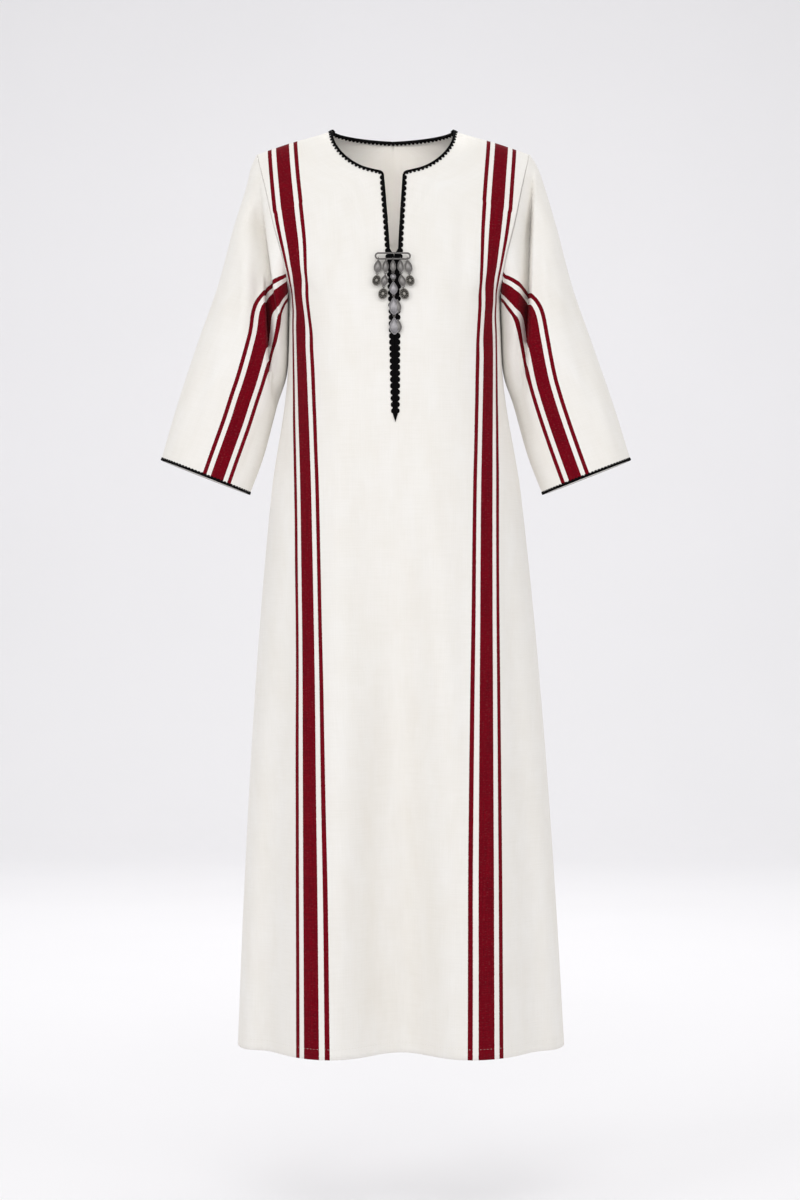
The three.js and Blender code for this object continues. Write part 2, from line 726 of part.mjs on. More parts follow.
// A solid swept through rings of equal count, open or closed on itself.
function sweep(rings, closed) {
  const points = rings.flat();
  const size = rings[0].length;
  const faces = [];
  const last = closed ? rings.length : rings.length - 1;
  for (let k = 0; k < last; k += 1) {
    const a = k * size;
    const b = ((k + 1) % rings.length) * size;
    for (let s = 0; s < size; s += 1) {
      const t = (s + 1) % size;
      faces.push([a + s, b + s, b + t]);
      faces.push([a + s, b + t, a + t]);
    }
  }
  if (!closed) {
    const end = (rings.length - 1) * size;
    const cap = THREE.ShapeUtils.triangulateShape(flatten(rings[0]), []);
    for (const [x, y, z] of cap) {
      faces.push([x, y, z]);
      faces.push([end + x, end + z, end + y]);
    }
  }
  const geometry = solid(points, faces);
  if (volume(points, faces) < 0) geometry.setIndex(faces.map(([x, y, z]) => [x, z, y]).flat());
  return geometry;
}

function volume(points, faces) {
  let sum = 0;
  for (const [a, b, c] of faces) {
    sum += points[a].dot(points[b].clone().cross(points[c]));
  }
  return sum / 6;
}

// A ring of points drawn flat, as seen along its own normal.
function flatten(ring) {
  const across = ring[1].clone().sub(ring[0]).normalize();
  const normal = new THREE.Vector3();
  ring.forEach((p, k) => normal.add(p.clone().cross(ring[(k + 1) % ring.length])));
  normal.normalize();
  const up = normal.clone().cross(across);
  return ring.map((p) => new THREE.Vector2(p.dot(across), p.dot(up)));
}

// A strip on the outside of the cloth, its plain side on the edge.
function strip(stop, band, tooth) {
  const reach = band + (stop.peak ? tooth : 0);
  const at = (along, lift) => stop.p.clone()
    .addScaledVector(stop.inward, along)
    .addScaledVector(stop.out, lift);
  const low = BRAID_LIFT;
  const high = BRAID_LIFT + BRAID_THICK;
  return [at(0, low), at(reach, low), at(reach, high), at(0, high)];
}

// The same strip folded over the edge, with scallops on both faces of the cloth.
function folded(stop) {
  const reach = BRAID_BAND + (stop.peak ? BRAID_TOOTH : 0);
  const at = (along, lift) => stop.p.clone()
    .addScaledVector(stop.inward, along)
    .addScaledVector(stop.out, lift);
  const front = BRAID_LIFT;
  const rear = -WALL - BRAID_LIFT;
  return [
    at(reach, front),
    at(reach, front + BRAID_THICK),
    at(-SEAM_GAP - BRAID_THICK, front + BRAID_THICK),
    at(-SEAM_GAP - BRAID_THICK, rear - BRAID_THICK),
    at(reach, rear - BRAID_THICK),
    at(reach, rear),
    at(-SEAM_GAP, rear),
    at(-SEAM_GAP, front),
  ];
}

function cuffRoute(sleeve) {
  const stops = [];
  const last = SLEEVE_ROWS * sleeve.across;
  for (let m = 0; m < sleeve.across; m += 1) {
    stops.push(edgeStop(sleeve, last + m, last + m - sleeve.across));
  }
  return squared(stops, true);
}

// ---- brooch ----------------------------------------------------------------

// The cloth is lowest where the braid lies on it, so the brooch hangs in front.
const PROUD = BRAID_LIFT + BRAID_THICK + SEAM_GAP + BAR_RING_RADIUS + RING_WIRE;

function inFront(x, z) {
  return new THREE.Vector3(x, bodyY(-1, 0, z) - PROUD, z);
}

const barFoot = BAR_Z - BAR_HEIGHT / 2 + BAR_WIRE / 2;
const barStraight = (BAR_WIDTH - BAR_HEIGHT) / 2; // half the straight run of its wire

function brooch() {
  const places = new Map();
  for (const drop of DROPS) {
    const above = DROPS.find((d) => d.name === drop.from);
    const between = (near, far) => mix(near, far, 0.5);
    const hook = above
      ? inFront(
        between(above.x, drop.x),
        between(above.z - above.height / 2, drop.z + drop.height / 2),
      )
      : inFront(Math.max(-barStraight, Math.min(barStraight, drop.x)), barFoot);
    places.set(drop.name, { drop, hook, eye: null });
  }
  for (const drop of DROPS) {
    if (places.has(drop.from)) places.get(drop.from).eye = places.get(drop.name).hook;
  }
  return places;
}

// A ring of wire round a centre, its axis along the given direction.
function wireRing(centre, axis, radius) {
  const ring = new THREE.TorusGeometry(radius, RING_WIRE, 4, 8);
  const turn = new THREE.Quaternion().setFromUnitVectors(new THREE.Vector3(0, 0, 1), axis);
  ring.applyQuaternion(turn);
  ring.translate(centre.x, centre.y, centre.z);
  return ring;
}

// A domed plate: flat behind, its edge a little in front, and a crown.
function plate(drop, top, foot) {
  const outline = OUTLINES[drop.shape];
  const right = outline.map((o) => [o.out * drop.width * 0.5, o.down]);
  const left = outline.map((o) => [-o.out * drop.width * 0.5, o.down]).reverse();
  const loop = [...right, ...left];
  const down = foot.clone().sub(top);
  const across = new THREE.Vector3(1, 0, 0);
  const forward = across.clone().cross(down).normalize();
  if (forward.y > 0) forward.negate();
  const at = (x, d, w) => top.clone()
    .addScaledVector(across, x)
    .addScaledVector(down, d)
    .addScaledVector(forward, w);
  const ring = (scale, w) => loop.map(([x, d]) => at(x * scale, mix(0.5, d, scale), w));
  const rings = [ring(1, -PLATE_BACK), ring(1, PLATE_RIM), ring(DOME_SHOULDER, PLATE_DOME * 0.8)];
  const points = [...rings.flat(), at(0, 0.5, PLATE_DOME), at(0, 0.5, -PLATE_BACK)];
  const size = loop.length;
  const faces = [];
  for (let k = 0; k < size; k += 1) {
    const n = (k + 1) % size;
    for (let r = 0; r < 2; r += 1) {
      faces.push([r * size + k, (r + 1) * size + k, (r + 1) * size + n]);
      faces.push([r * size + k, (r + 1) * size + n, r * size + n]);
    }
    faces.push([2 * size + k, 3 * size, 2 * size + n]);
    faces.push([k, n, 3 * size + 1]);
  }
  const turned = volume(points, faces) < 0 ? faces.map(([a, b, c]) => [a, c, b]) : faces;
  return solid(points, turned);
}

// The plain plate behind a drop, a smaller one of its shape, set over to one side.
function backingPlate(drop, top, foot) {
  const moved = new THREE.Vector3(drop.backing, BACKING_SET_BACK, 0);
  const inset = (1 - BACKING_SHARE) / 2;
  const shape = { ...drop, width: drop.width * BACKING_SHARE };
  const high = top.clone().lerp(foot, inset).add(moved);
  const low = foot.clone().lerp(top, inset).add(moved);
  return plate(shape, high, low);
}

function hangingPiece({ drop, hook, eye }) {
  const lowest = inFront(drop.x, drop.z - drop.height / 2);
  const foot = eye ?? lowest;
  const way = foot.clone().sub(hook).normalize();
  const radius = drop.from === "bar" ? BAR_RING_RADIUS : RING_RADIUS;
  const top = hook.clone().addScaledVector(way, radius);
  const end = eye ? eye.clone().addScaledVector(way, -2 * RING_RADIUS) : lowest;
  const across = new THREE.Vector3(1, 0, 0);
  let body = toManifold(plate(drop, top, end));
  if (drop.backing) body = body.add(toManifold(backingPlate(drop, top, end)));
  body = body.add(toManifold(wireRing(hook, across, radius)));
  if (eye) {
    const eyeMiddle = eye.clone().addScaledVector(way, -RING_RADIUS);
    const through = across.cross(way).normalize();
    body = body.add(toManifold(wireRing(eyeMiddle, through, RING_RADIUS)));
  }
  return fromManifold(body);
}

// The bar is an open link: wire swept round a long loop.
function bar() {
  const half = BAR_WIDTH / 2 - BAR_WIRE / 2;
  const rise = BAR_HEIGHT / 2 - BAR_WIRE / 2;
  const corner = 6;
  const rings = [];
  const middle = inFront(0, barFoot);
  for (const hand of [1, -1]) {
    for (let k = 0; k <= corner; k += 1) {
      const angle = mix(-Math.PI / 2, Math.PI / 2, k / corner) * hand;
      const x = hand * (half - rise) + hand * rise * Math.cos(angle);
      const z = BAR_Z + rise * Math.sin(angle);
      const way = new THREE.Vector3(hand * Math.cos(angle), 0, Math.sin(angle));
      const ring = [];
      for (let s = 0; s < 6; s += 1) {
        const turn = (Math.PI * s) / 3;
        ring.push(new THREE.Vector3(x, middle.y, z)
          .addScaledVector(way, (BAR_WIRE / 2) * Math.cos(turn))
          .add(new THREE.Vector3(0, (BAR_WIRE / 2) * Math.sin(turn), 0)));
      }
      rings.push(ring);
    }
  }
  return sweep(rings, true);
}

// ---- the part --------------------------------------------------------------

function add(group, name, geometry, material) {
  const mesh = new THREE.Mesh(geometry, material);
  mesh.name = name;
  group.add(mesh);
}

const dress = new THREE.Group();
const cloth = buildCloth();
for (const [name, piece] of Object.entries(cloth)) add(dress, name, piece.geometry, CLOTH);

const neckStops = scallops(frontEdgeRoute(cloth.dress_front), false);
const neckRings = neckStops.map((stop) => strip(stop, BRAID_BAND, BRAID_TOOTH));
add(dress, "neck_braid_front", sweep(neckRings, false), BRAID);

const backStops = scallops(backEdgeRoute(cloth.dress_back), false);
add(dress, "neck_braid_back", sweep(backStops.map(folded), false), BRAID);

for (const side of ["left", "right"]) {
  const stops = scallops(cuffRoute(cloth[`sleeve_${side}`]), true);
  const rings = stops.map((stop) => strip(stop, CUFF_BRAID_BAND, CUFF_BRAID_TOOTH));
  add(dress, `cuff_braid_${side}`, sweep(rings, true), BRAID);
}

add(dress, "brooch_bar", bar(), SILVER);
for (const [name, piece] of brooch()) add(dress, name, hangingPiece(piece), SILVER);

export default dress;
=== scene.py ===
"""A kaftan dress in slubby off-white cotton with woven crimson bands, black scalloped
braid at the neck, slit and cuffs, and a hanging silver brooch, filled out as if worn.

Sizes in the tables are millimetres, +X to the wearer's left, -Y to the front and
+Z up, from a point midway between the two neck ends of the shoulder seams.
"""
import math
from functools import partial
import bmesh
import bpy
import numpy as np
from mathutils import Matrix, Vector


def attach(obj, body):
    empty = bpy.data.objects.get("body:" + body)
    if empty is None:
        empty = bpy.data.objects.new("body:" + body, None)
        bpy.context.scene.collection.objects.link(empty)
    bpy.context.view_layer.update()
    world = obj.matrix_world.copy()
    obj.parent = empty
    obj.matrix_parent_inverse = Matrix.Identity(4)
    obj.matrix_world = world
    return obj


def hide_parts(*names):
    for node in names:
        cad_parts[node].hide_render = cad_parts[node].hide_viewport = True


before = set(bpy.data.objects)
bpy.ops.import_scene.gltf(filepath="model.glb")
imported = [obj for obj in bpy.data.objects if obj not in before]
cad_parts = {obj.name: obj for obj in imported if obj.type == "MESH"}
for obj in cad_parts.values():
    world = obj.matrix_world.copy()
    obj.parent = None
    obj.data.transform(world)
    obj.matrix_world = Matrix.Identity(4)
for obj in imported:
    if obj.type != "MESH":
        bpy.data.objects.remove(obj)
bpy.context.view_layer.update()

MM = 0.001
ACROSS, UP = np.array([1.0, 0, 0]), np.array([0, 0, 1.0])


def table(columns, *rows):
    """Rows of values under named columns. A row may leave out the last ones."""
    return [dict(zip(columns.split(), row)) for row in rows]


# ---- the cut and the hang of the dress ----

LENGTH = 1368
NECK_HALF = 92
SHOULDER_HALF = 204
SHOULDER_DROP = 39
UNDERARM_Z = -254
LEAN = 12
FRONT_NECK_DROP = 72
BACK_NECK_DROP = 7.5
BACK_NECK_CURVE = 1.4
SLIT_END_Z = -443
HEM_DEPTH = 15
CLOTH_THICK = 0.8
SEAM_GAP = 0.3
SLEEVE_ROUND = 2.2
ARMHOLE_BLEND = 0.3

# At each height: half width, front and back depth, and the section's exponent.
BODY = table("z half front back round",
    (0, 262, 40, 56, 2.5),
    (-85, 250, 80, 96, 2.5),
    (-120, 243, 92, 103, 2.5),
    (-160, 217, 103, 108, 2.5),
    (-200, 186, 113, 110, 2.5),
    (-230, 167, 119, 109, 2.5),
    (-254, 158, 123, 108, 2.5),
    (-300, 158.6, 128, 108, 2.4),
    (-366, 161, 133, 109, 2.3),
    (-546, 187, 146, 118, 2.1),
    (-854, 215, 163, 133, 2),
    (-1154, 234, 174, 147, 2),
    (-1368, 244.5, 181, 158, 2))
# Over the shoulders the depth follows the fall below the shoulder line.
SHOULDER = table("fall front back",
    (0, 0, 0), (4, 14, 18), (12, 25, 33), (25, 36, 47), (45, 48, 63), (70, 60, 77),
    (100, 72, 90), (150, 89, 102), (210, 106, 108), (290, 123, 108))
SHOULDER_END = (-60, -250)
FRONT_NECK = table("x z",
    (NECK_HALF, 0), (86, -24), (70, -46), (47, -62), (14.5, -FRONT_NECK_DROP))
SLIT = table("z half",
    (-FRONT_NECK_DROP, 14.5), (-120, 11), (-180, 7.2), (-254, 4), (-336, 1.2),
    (SLIT_END_Z, 0.6))
ARMHOLE = table("x z",
    (SHOULDER_HALF, -SHOULDER_DROP), (192, -85), (178, -148), (163.5, -205), (159, -240),
    (158, UNDERARM_Z))
SLEEVE_OUTER_EDGE = table("right z left",
    (SHOULDER_HALF, -SHOULDER_DROP, SHOULDER_HALF), (212, -55, 215), (220, -85, 226),
    (238, -141, 242), (263, -231, 265), (295.5, -321, 295.5), (326, -411, 326),
    (351, -494, 351))
SLEEVE_INNER_EDGE = table("x z",
    (158.4, UNDERARM_Z), (159.7, -300), (163.4, -366), (177.5, -410), (199, -488),
    (220.5, -545))
SLEEVE_DEPTHS = table("along half",
    (0, 78), (0.3, 71), (0.65, 60), (1, 52))

# Folds that hang down the body: start height, distance from the centre there and at
# the hem, depth (in is +) and half width at the hem.
FRONT_FOLDS = table("start top foot depth half",
    (-380, 0, 0, 96, 62),
    (-640, -172, -212, 44, 46),
    (-640, 176, 214, 34, 44))
BACK_FOLDS = table("start top foot depth half",
    (-330, -34, -62, 48, 48),
    (-420, 40, 74, 56, 52),
    (-600, -140, -178, 36, 44),
    (-640, 146, 186, 34, 42))
# A fold starts at this share of its width, comes in at this power of the way down, and
# runs out where the section is this thin.
FOLD_START_SHARE = 0.6
FOLD_ONSET = 0.8
FOLD_EDGE = 0.45
# Folds dragged down the sleeves from under the arms: how far they ease in and out, and
# how far from a sleeve's edge they start and are whole.
DRAG_EASE = (70, 150)
DRAG_EDGE = (20, 50)
DRAG_FOLDS = table("hand x top foot depth half",
    (-1, 201, -80, -400, 15, 17),
    (1, 204, -90, -380, 12, 18))

# Creases as seen from the front: from x, z to x, z. Depth is in for a
# trough (+) and out for a ridge (-). A ledge is steep on its outer or its inner side.
FRONT_CREASES = table("x z to_x to_z depth width",
    (-83, -78, -58, -122, 1.6, 4),
    (-64, -112, -28, -184, 1.5, 5),
    (-53, -73, -36, -116, 1.3, 3.5),
    (-79, -92, -70, -205, 2.2, 12),
    (64, -66, 58, -96, 1.3, 4),
    (59, -88, 26, -148, 1.6, 5),
    (36, -82, 26, -106, 1.1, 3.5),
    (108, -118, 92, -300, 2.2, 13),
    (-140, -90, -124, -205, 1.8, 12),
    (-150, -216, -112, -262, 1.8, 8),
    (150, -220, 116, -268, 1.7, 8),
    (-149, -262, -118, -330, 2, 10),
    (151, -268, 124, -340, 1.7, 10),
    (-60, -180, -58, -460, 4, 23),
    (-34, -300, -48, -820, 6.5, 26),
    (44, -500, 66, -900, -3.5, 22),
    (-86, -520, -94, -1140, -5, 24),
    (96, -640, 104, -1250, 3, 16),
    (-150, -480, -166, -900, 3, 16),
    (160, -560, 178, -980, 3, 16),
    (-24, -860, -30, -1330, 6, 22),
    (70, -1010, 84, -1360, 2.4, 14),
    (-60, -1060, -74, -1366, 2.2, 12))
BACK_CREASES = table("x z to_x to_z depth width",
    (-62, -30, -46, -150, 1.6, 7),
    (64, -34, 50, -160, 1.8, 7),
    (22, -26, 20, -120, 1.2, 8),
    (-110, -90, -84, -240, 2.2, 12),
    (112, -96, 88, -250, 2, 12),
    (-148, -216, -96, -290, 2.2, 9),
    (150, -220, 104, -300, 2, 9),
    (-150, -270, -112, -356, 2.2, 10),
    (150, -276, 116, -350, 1.8, 10),
    (8, -240, 2, -620, 3.2, 16),
    (-96, -420, -112, -860, 3.6, 18),
    (104, -480, 124, -960, -3.6, 18),
    (-10, -760, -4, -1300, -4, 20),
    (168, -620, 196, -1180, 3.2, 16),
    (-46, -900, -56, -1360, 2.6, 12))
SLEEVE_CREASES = table("hand side x z to_x to_z depth width steep",
    (-1, -1, -197, -104, -177, -268, 36, 17, "in"),
    (-1, -1, -192, -236, -187, -372, 34, 15, "out"),
    (-1, -1, -174, -330, -178, -410, 7, 7),
    (-1, -1, -176, -226, -173, -304, -3.2, 4.5),
    (-1, -1, -230, -190, -246, -330, 2.4, 11),
    (-1, -1, -214, -160, -216, -290, -2.6, 9),
    (-1, -1, -268, -330, -312, -470, 2.2, 12),
    (-1, -1, -196, -430, -232, -520, 2.2, 8),
    (1, -1, 207, -92, 194, -372, 42, 20, "out"),
    (1, -1, 178, -320, 184, -400, 7, 7),
    (1, -1, 184, -222, 180, -310, -3.2, 4.5),
    (1, -1, 180, -372, 200, -470, 3.2, 9),
    (1, -1, 226, -150, 238, -300, 2.2, 10),
    (1, -1, 252, -250, 292, -400, 2.4, 13),
    (1, -1, 300, -400, 326, -494, -2, 10),
    (-1, 1, -196, -110, -188, -330, 16, 14, "out"),
    (-1, 1, -186, -280, -214, -420, 4, 11),
    (-1, 1, -232, -220, -264, -372, 2.6, 12),
    (-1, 1, -176, -300, -206, -356, -2.6, 8),
    (1, 1, 202, -96, 192, -320, 17, 14, "out"),
    (1, 1, 182, -262, 206, -380, 4.4, 10),
    (1, 1, 240, -250, 282, -410, 2.6, 13),
    (1, 1, 190, -350, 226, -452, -2.4, 9))
# Over the shoulder the seam stands up in a soft curve before it falls to the sleeve.
SHOULDER_ROUND = 3.6
ROUNDED_FROM = (NECK_HALF + 4, 168)
ROUNDED_TO = (196, 262)
ROUNDED_FALL = 26
# How far a crease runs past its ends and eases in, how far from a sleeve's edge it
# starts, and how wide a ledge's two sides are.
PAST_ENDS = 0.15
END_EASE = 0.3
FACE_DEPTH = 12
SHARP_SHARE = 0.15
SLOPE_SHARE = 0.75

# The woven band: a wide crimson stripe between two thin ones. Its middle line as
# seen from the front, over the wearer's right and left.
BAND_X = table("z right left",
    (0, 168, 165), (-73, 161.6, 157.6), (-133, 155.3, 152), (-193, 147.5, 146),
    (-253, 142.5, 141), (-373, 137.4, 137.5), (-553, 132.7, 132.8), (-853, 129.6, 129),
    (-1153, 129.8, 126), (-1368, 130, 124))
# The stripes spread a little with the flare of the skirt.
BAND_SPREAD = table("z share",
    (0, 1.03), (-120, 1.03), (-190, 0.97), (-263, 1.14), (-308, 1.24), (-360, 1.28),
    (-420, 1.2), (-500, 1.12), (-703, 1.12), (-851, 1.18), (-1000, 1.24), (-1145, 1.28),
    (-1368, 1.28))
# On a sleeve the middle line's distance out at each height, for each arm.
BAND_ON_SLEEVE = table("z right left",
    (-239, 159.4, 159.6), (-248, 167, 169), (-257, 176, 179), (-266, 184, 188.6),
    (-274, 189, 195.4), (-284, 191.6, 200), (-300, 193.4, 203.4), (-314, 196, 205.6),
    (-328, 199.8, 208), (-349, 205.4, 211.6), (-379, 214.1, 217.8), (-408, 224.2, 226),
    (-438, 234.2, 235.6), (-468, 245.2, 245.8), (-497, 256, 256), (-530, 268, 268))
WIDE_STRIPE = 19.6
THIN_STRIPE = 5.8
STRIPE_SPACE = 6.6

# ---- the braid ----

BRAID_LIFT = 0.45
BRAID_GAP = 0.55
BRAID_THICK = 1.3
# Section of the plain band: reach in from the edge, and height over the cloth.
BRAID_SECTION = [
    (-0.5, 0.3), (-0.6, 0.9), (-0.2, 1.5), (0.7, 1.75), (1.8, 1.6),
    (2.8, 1.75), (3.5, 1.4), (3.8, 0.8), (3.5, 0.25), (1.6, 0.2),
]
SCALLOP_REACH = 3.7
SCALLOP_LIFT = 0.8
# Length, width and height of each scallop and turn. A turn lies so far out, back and up
# from the end of its run.
SLIT_SCALLOP = (8.4, 6, 1.5)
SLIT_PITCH = 9.1
NECK_SCALLOP = (5.9, 6.6, 1.7)
NECK_PITCH = 6.3
NECK_TURN = (5.8, 4.8, 5.4)
NECK_TURN_AT = (1.3, -0.4, -0.6)
BACK_TURN = (6, 4, 3.8)
BACK_TURN_AT = (2.6, 0, -1.3)
CUFF_SECTION_SHARE = 0.78
CUFF_SCALLOP = (4.6, 3.3, 1.2)
CUFF_PITCH = 5.2
# How wide the braid is at each height of the slit, as a share of its full width.
BRAID_SHARE = table("z share",
    (0, 0.8), (-66, 0.8), (-92, 1), (-196, 1), (-226, 0.84), (-276, 0.88), (-318, 1.04),
    (-364, 1), (-390, 0.98), (-410, 0.92), (-430, 0.84), (-438, 0.66), (SLIT_END_Z, 0.5))
# Below the neck the braid's two runs draw together until they meet at the slit's middle.
MEETS = (-190, -201)
# The folded braid of the back neck: how far it reaches, and its gap to the cloth.
BACK_REACH = 3.4
BACK_GAP = 0.25

# ---- the brooch ----

BAR_WIDTH = 53
BAR_HEIGHT = 11
BAR_WIRE = 2.6
BAR_Z = -202
BAR_RING_RADIUS = 2.3
RING_RADIUS = 1.75
RING_WIRE = 0.5
PLATE_BACK = 0.8
BACKING_SHARE = 0.78
BACKING_SET_BACK = 0.9
PROUD = BRAID_LIFT + BRAID_THICK + SEAM_GAP + BAR_RING_RADIUS + RING_WIRE

# x and z are a piece's middle. Each hangs from the one named, or from the bar.
DROPS = table("name hung shape x z width height backing",
    ("leaf_1", "bar", "leaf", -21.6, -217.6, 11.8, 17),
    ("leaf_2", "bar", "leaf", -10.2, -217.6, 9.4, 17),
    ("leaf_3", "bar", "leaf", 0.3, -217.6, 9, 17),
    ("leaf_4", "bar", "leaf", 10.9, -217.6, 9.4, 17),
    ("leaf_5", "bar", "leaf", 22.4, -217.6, 11.8, 17),
    ("coin_1", "leaf_1", "coin", -24.2, -239.5, 13, 13.2),
    ("coin_2", "leaf_5", "coin", 26.2, -239.5, 13, 13.2),
    ("drop_1", "leaf_2", "drop", -11.6, -238.5, 10.8, 15),
    ("drop_2", "leaf_4", "drop", 12.9, -238.5, 10.8, 15),
    ("coin_3", "drop_1", "coin", -15.1, -259, 14.2, 14.2),
    ("coin_4", "drop_2", "coin", 17.9, -259, 14.2, 14.2),
    ("bead", "leaf_3", "bead", 0.5, -233, 8.4, 7.6),
    ("drop_3", "bead", "drop", 1, -250.5, 12.2, 18),
    ("drop_4", "drop_3", "drop", 1.6, -277.6, 14.6, 25, 5),
    ("drop_5", "drop_4", "drop", 2.6, -306, 15, 24, 5))
# Half outlines: down the height, and out of half the width.
OUTLINES = {
    "leaf": [(0, 0.16), (0.08, 0.38), (0.2, 0.65), (0.36, 0.9), (0.54, 1), (0.7, 0.96),
             (0.84, 0.75), (0.94, 0.42), (1, 0.15)],
    "drop": [(0, 0.13), (0.1, 0.33), (0.25, 0.66), (0.4, 0.91), (0.54, 1), (0.68, 0.95),
             (0.8, 0.79), (0.92, 0.46), (1, 0.14)],
    "coin": [(0, 0.2), (0.06, 0.47), (0.16, 0.74), (0.32, 0.94), (0.5, 1), (0.68, 0.94),
             (0.84, 0.74), (0.94, 0.47), (1, 0.2)],
}
OUTLINES["bead"] = OUTLINES["coin"]
# From the edge to the crown: size of the ring, height over the middle plane, and how
# bright the silver is there. The groove is dark as tarnish is in real hollows; up a dome
# and up a coin's boss the silver grows lighter, partly as wear and partly as painted
# shade at the foot and a painted highlight on the crown.
DOMED = [(1, 0, 0.5), (0.97, 0.35, 0.75), (0.91, 0.5, 0.8), (0.86, 0.35, 0.35), (0.8, 0.7, 0.5),
         (0.64, 1.5, 0.65), (0.44, 2.1, 0.8), (0.24, 2.45, 1), (0.1, 2.5, 1)]
RELIEFS = {
    "leaf": DOMED,
    "drop": DOMED,
    "bead": DOMED,
    "coin": [(1, 0.1, 0.5), (0.96, 0.7, 0.85), (0.88, 0.8, 0.9), (0.8, 0.2, 0.1),
             (0.74, 0, 0), (0.44, 0, 0), (0.36, 0.6, 0.3), (0.3, 1.1, 0.7), (0.18, 1.6, 1),
             (0.08, 1.7, 1)],
}
PLATE_FROM_HOOK = {"bar": 1.75, "plate": 0.9}
PLATE_TO_EYE = 2.6
WIRE_RUB = 0.55
COIN_GRAINS = 11
GRAIN = 1.7
GRAIN_RING = 0.6
GRAIN_RUB = 0.8
GRAIN_LIFT = 0.15
WIRE_AROUND, WIRE_ACROSS = 20, 8
BAR_ACROSS = 12
BAR_STEPS, BAR_END_STEPS = 12, 15
PLATE_STEPS = 17
BACK_RUB = 0.4
BAR_FLAT_FRONT = 0.86


# ---- numbers ----

def curve(table, key, column):
    """A smooth curve through one column of a table against another."""
    rows = sorted(table, key=lambda row: row[key])
    x = np.array([row[key] for row in rows], float)
    y = np.array([row[column] for row in rows], float)
    slope = np.diff(y) / np.diff(x)
    bend = np.empty(len(x))
    bend[0], bend[-1] = slope[0], slope[-1]
    before, after = slope[:-1], slope[1:]
    total = np.where(before * after > 0, before + after, 1)
    bend[1:-1] = np.where(before * after > 0, 2 * before * after / total, 0)

    def at(value):
        value = np.clip(np.asarray(value, float), x[0], x[-1])
        i = np.clip(np.searchsorted(x, value, side="right") - 1, 0, len(x) - 2)
        step = x[i + 1] - x[i]
        t = (value - x[i]) / step
        u = 1 - t
        ends = y[i] * (1 + 2 * t) * u * u + y[i + 1] * (3 - 2 * t) * t * t
        return ends + step * (bend[i] * t * u * u - bend[i + 1] * t * t * u)

    return at


def ease(low, high, value):
    t = np.clip((np.asarray(value, float) - low) / (high - low), 0, 1)
    return t * t * (3 - 2 * t)


def mix(a, b, t):
    return a + (b - a) * t


def unit(v):
    return v / np.maximum(np.linalg.norm(v, axis=-1, keepdims=True), 1e-9)


def way_along(points, axis=0, closed=False):
    """The way along a line or a grid at each of its points."""
    if closed:
        return np.roll(points, -1, axis) - np.roll(points, 1, axis)
    return np.gradient(points, axis=axis)


def evenly(line, count):
    """A polyline cut into equal lengths."""
    line = np.asarray(line, float)
    run = np.concatenate([[0], np.cumsum(np.linalg.norm(np.diff(line, axis=0), axis=1))])
    goal = np.linspace(0, run[-1], count + 1)
    return np.stack([np.interp(goal, run, line[:, c]) for c in range(line.shape[1])], axis=1)


def spline(places, steps=40, x="x"):
    """A centripetal Catmull-Rom line through the places of a table, level in y."""
    p = np.array([(place[x], 0, place["z"]) for place in places], float)
    p = np.vstack([2 * p[0] - p[1], p, 2 * p[-1] - p[-2]])
    out = []
    for a, b, c, d in zip(p[:-3], p[1:-2], p[2:-1], p[3:]):
        t1 = np.linalg.norm(b - a) ** 0.5
        t2 = t1 + np.linalg.norm(c - b) ** 0.5
        t3 = t2 + np.linalg.norm(d - c) ** 0.5
        for t in np.linspace(t1, t2, steps, endpoint=False):
            one = mix(a, b, t / t1)
            two = mix(b, c, (t - t1) / (t2 - t1))
            three = mix(c, d, (t - t2) / (t3 - t2))
            left = mix(one, two, t / t2)
            right = mix(two, three, (t - t1) / (t3 - t1))
            out.append(mix(left, right, (t - t1) / (t2 - t1)))
    out.append(p[-2])
    return np.array(out)


# ---- the form of the body ----

BODY_AT = {name: curve(BODY, "z", name) for name in ("half", "front", "back", "round")}
SHOULDER_AT = {name: curve(SHOULDER, "fall", name) for name in ("front", "back")}
SLIT_AT = curve(SLIT, "z", "half")
BAND_AT = {-1: curve(BAND_X, "z", "right"), 1: curve(BAND_X, "z", "left")}
BAND_SPREAD_AT = curve(BAND_SPREAD, "z", "share")
BRAID_SHARE_AT = curve(BRAID_SHARE, "z", "share")
FINE_STEPS = 400
NECK_STEPS = 161


def lean(z):
    return LEAN * np.clip(-np.asarray(z, float) / LENGTH, 0, 1)


def shoulder_line(x):
    return (NECK_HALF - np.abs(x)) * SHOULDER_DROP / (SHOULDER_HALF - NECK_HALF)


def folded_in(folds, x, z):
    """How deep the hanging folds press the cloth in."""
    depth = 0
    for f in folds:
        down = np.clip((z - f["start"]) / (-LENGTH - f["start"]), 0, 1)
        centre = mix(f["top"], f["foot"], down)
        half = f["half"] * mix(FOLD_START_SHARE, 1, down)
        onset = ease(0, 1, down) ** FOLD_ONSET
        depth = depth + f["depth"] * onset * np.exp(-((x - centre) / half) ** 2)
    return depth


def body_y(side, x, z):
    """Depth of the front (side -1) or back (side 1) cloth at x from the centre."""
    x, z = np.broadcast_arrays(np.asarray(x, float), np.asarray(z, float))
    name = "front" if side < 0 else "back"
    over = SHOULDER_AT[name](np.maximum(0, shoulder_line(x) - z))
    depth = mix(over, BODY_AT[name](z), ease(-SHOULDER_END[0], -SHOULDER_END[1], -z))
    round_ = BODY_AT["round"](z)
    share = np.clip(1 - (np.abs(x) / BODY_AT["half"](z)) ** round_, 0, 1)
    folds = folded_in(FRONT_FOLDS if side < 0 else BACK_FOLDS, x, z)
    return side * np.maximum(0, depth * share ** (1 / round_) - folds * ease(0, FOLD_EDGE, share))


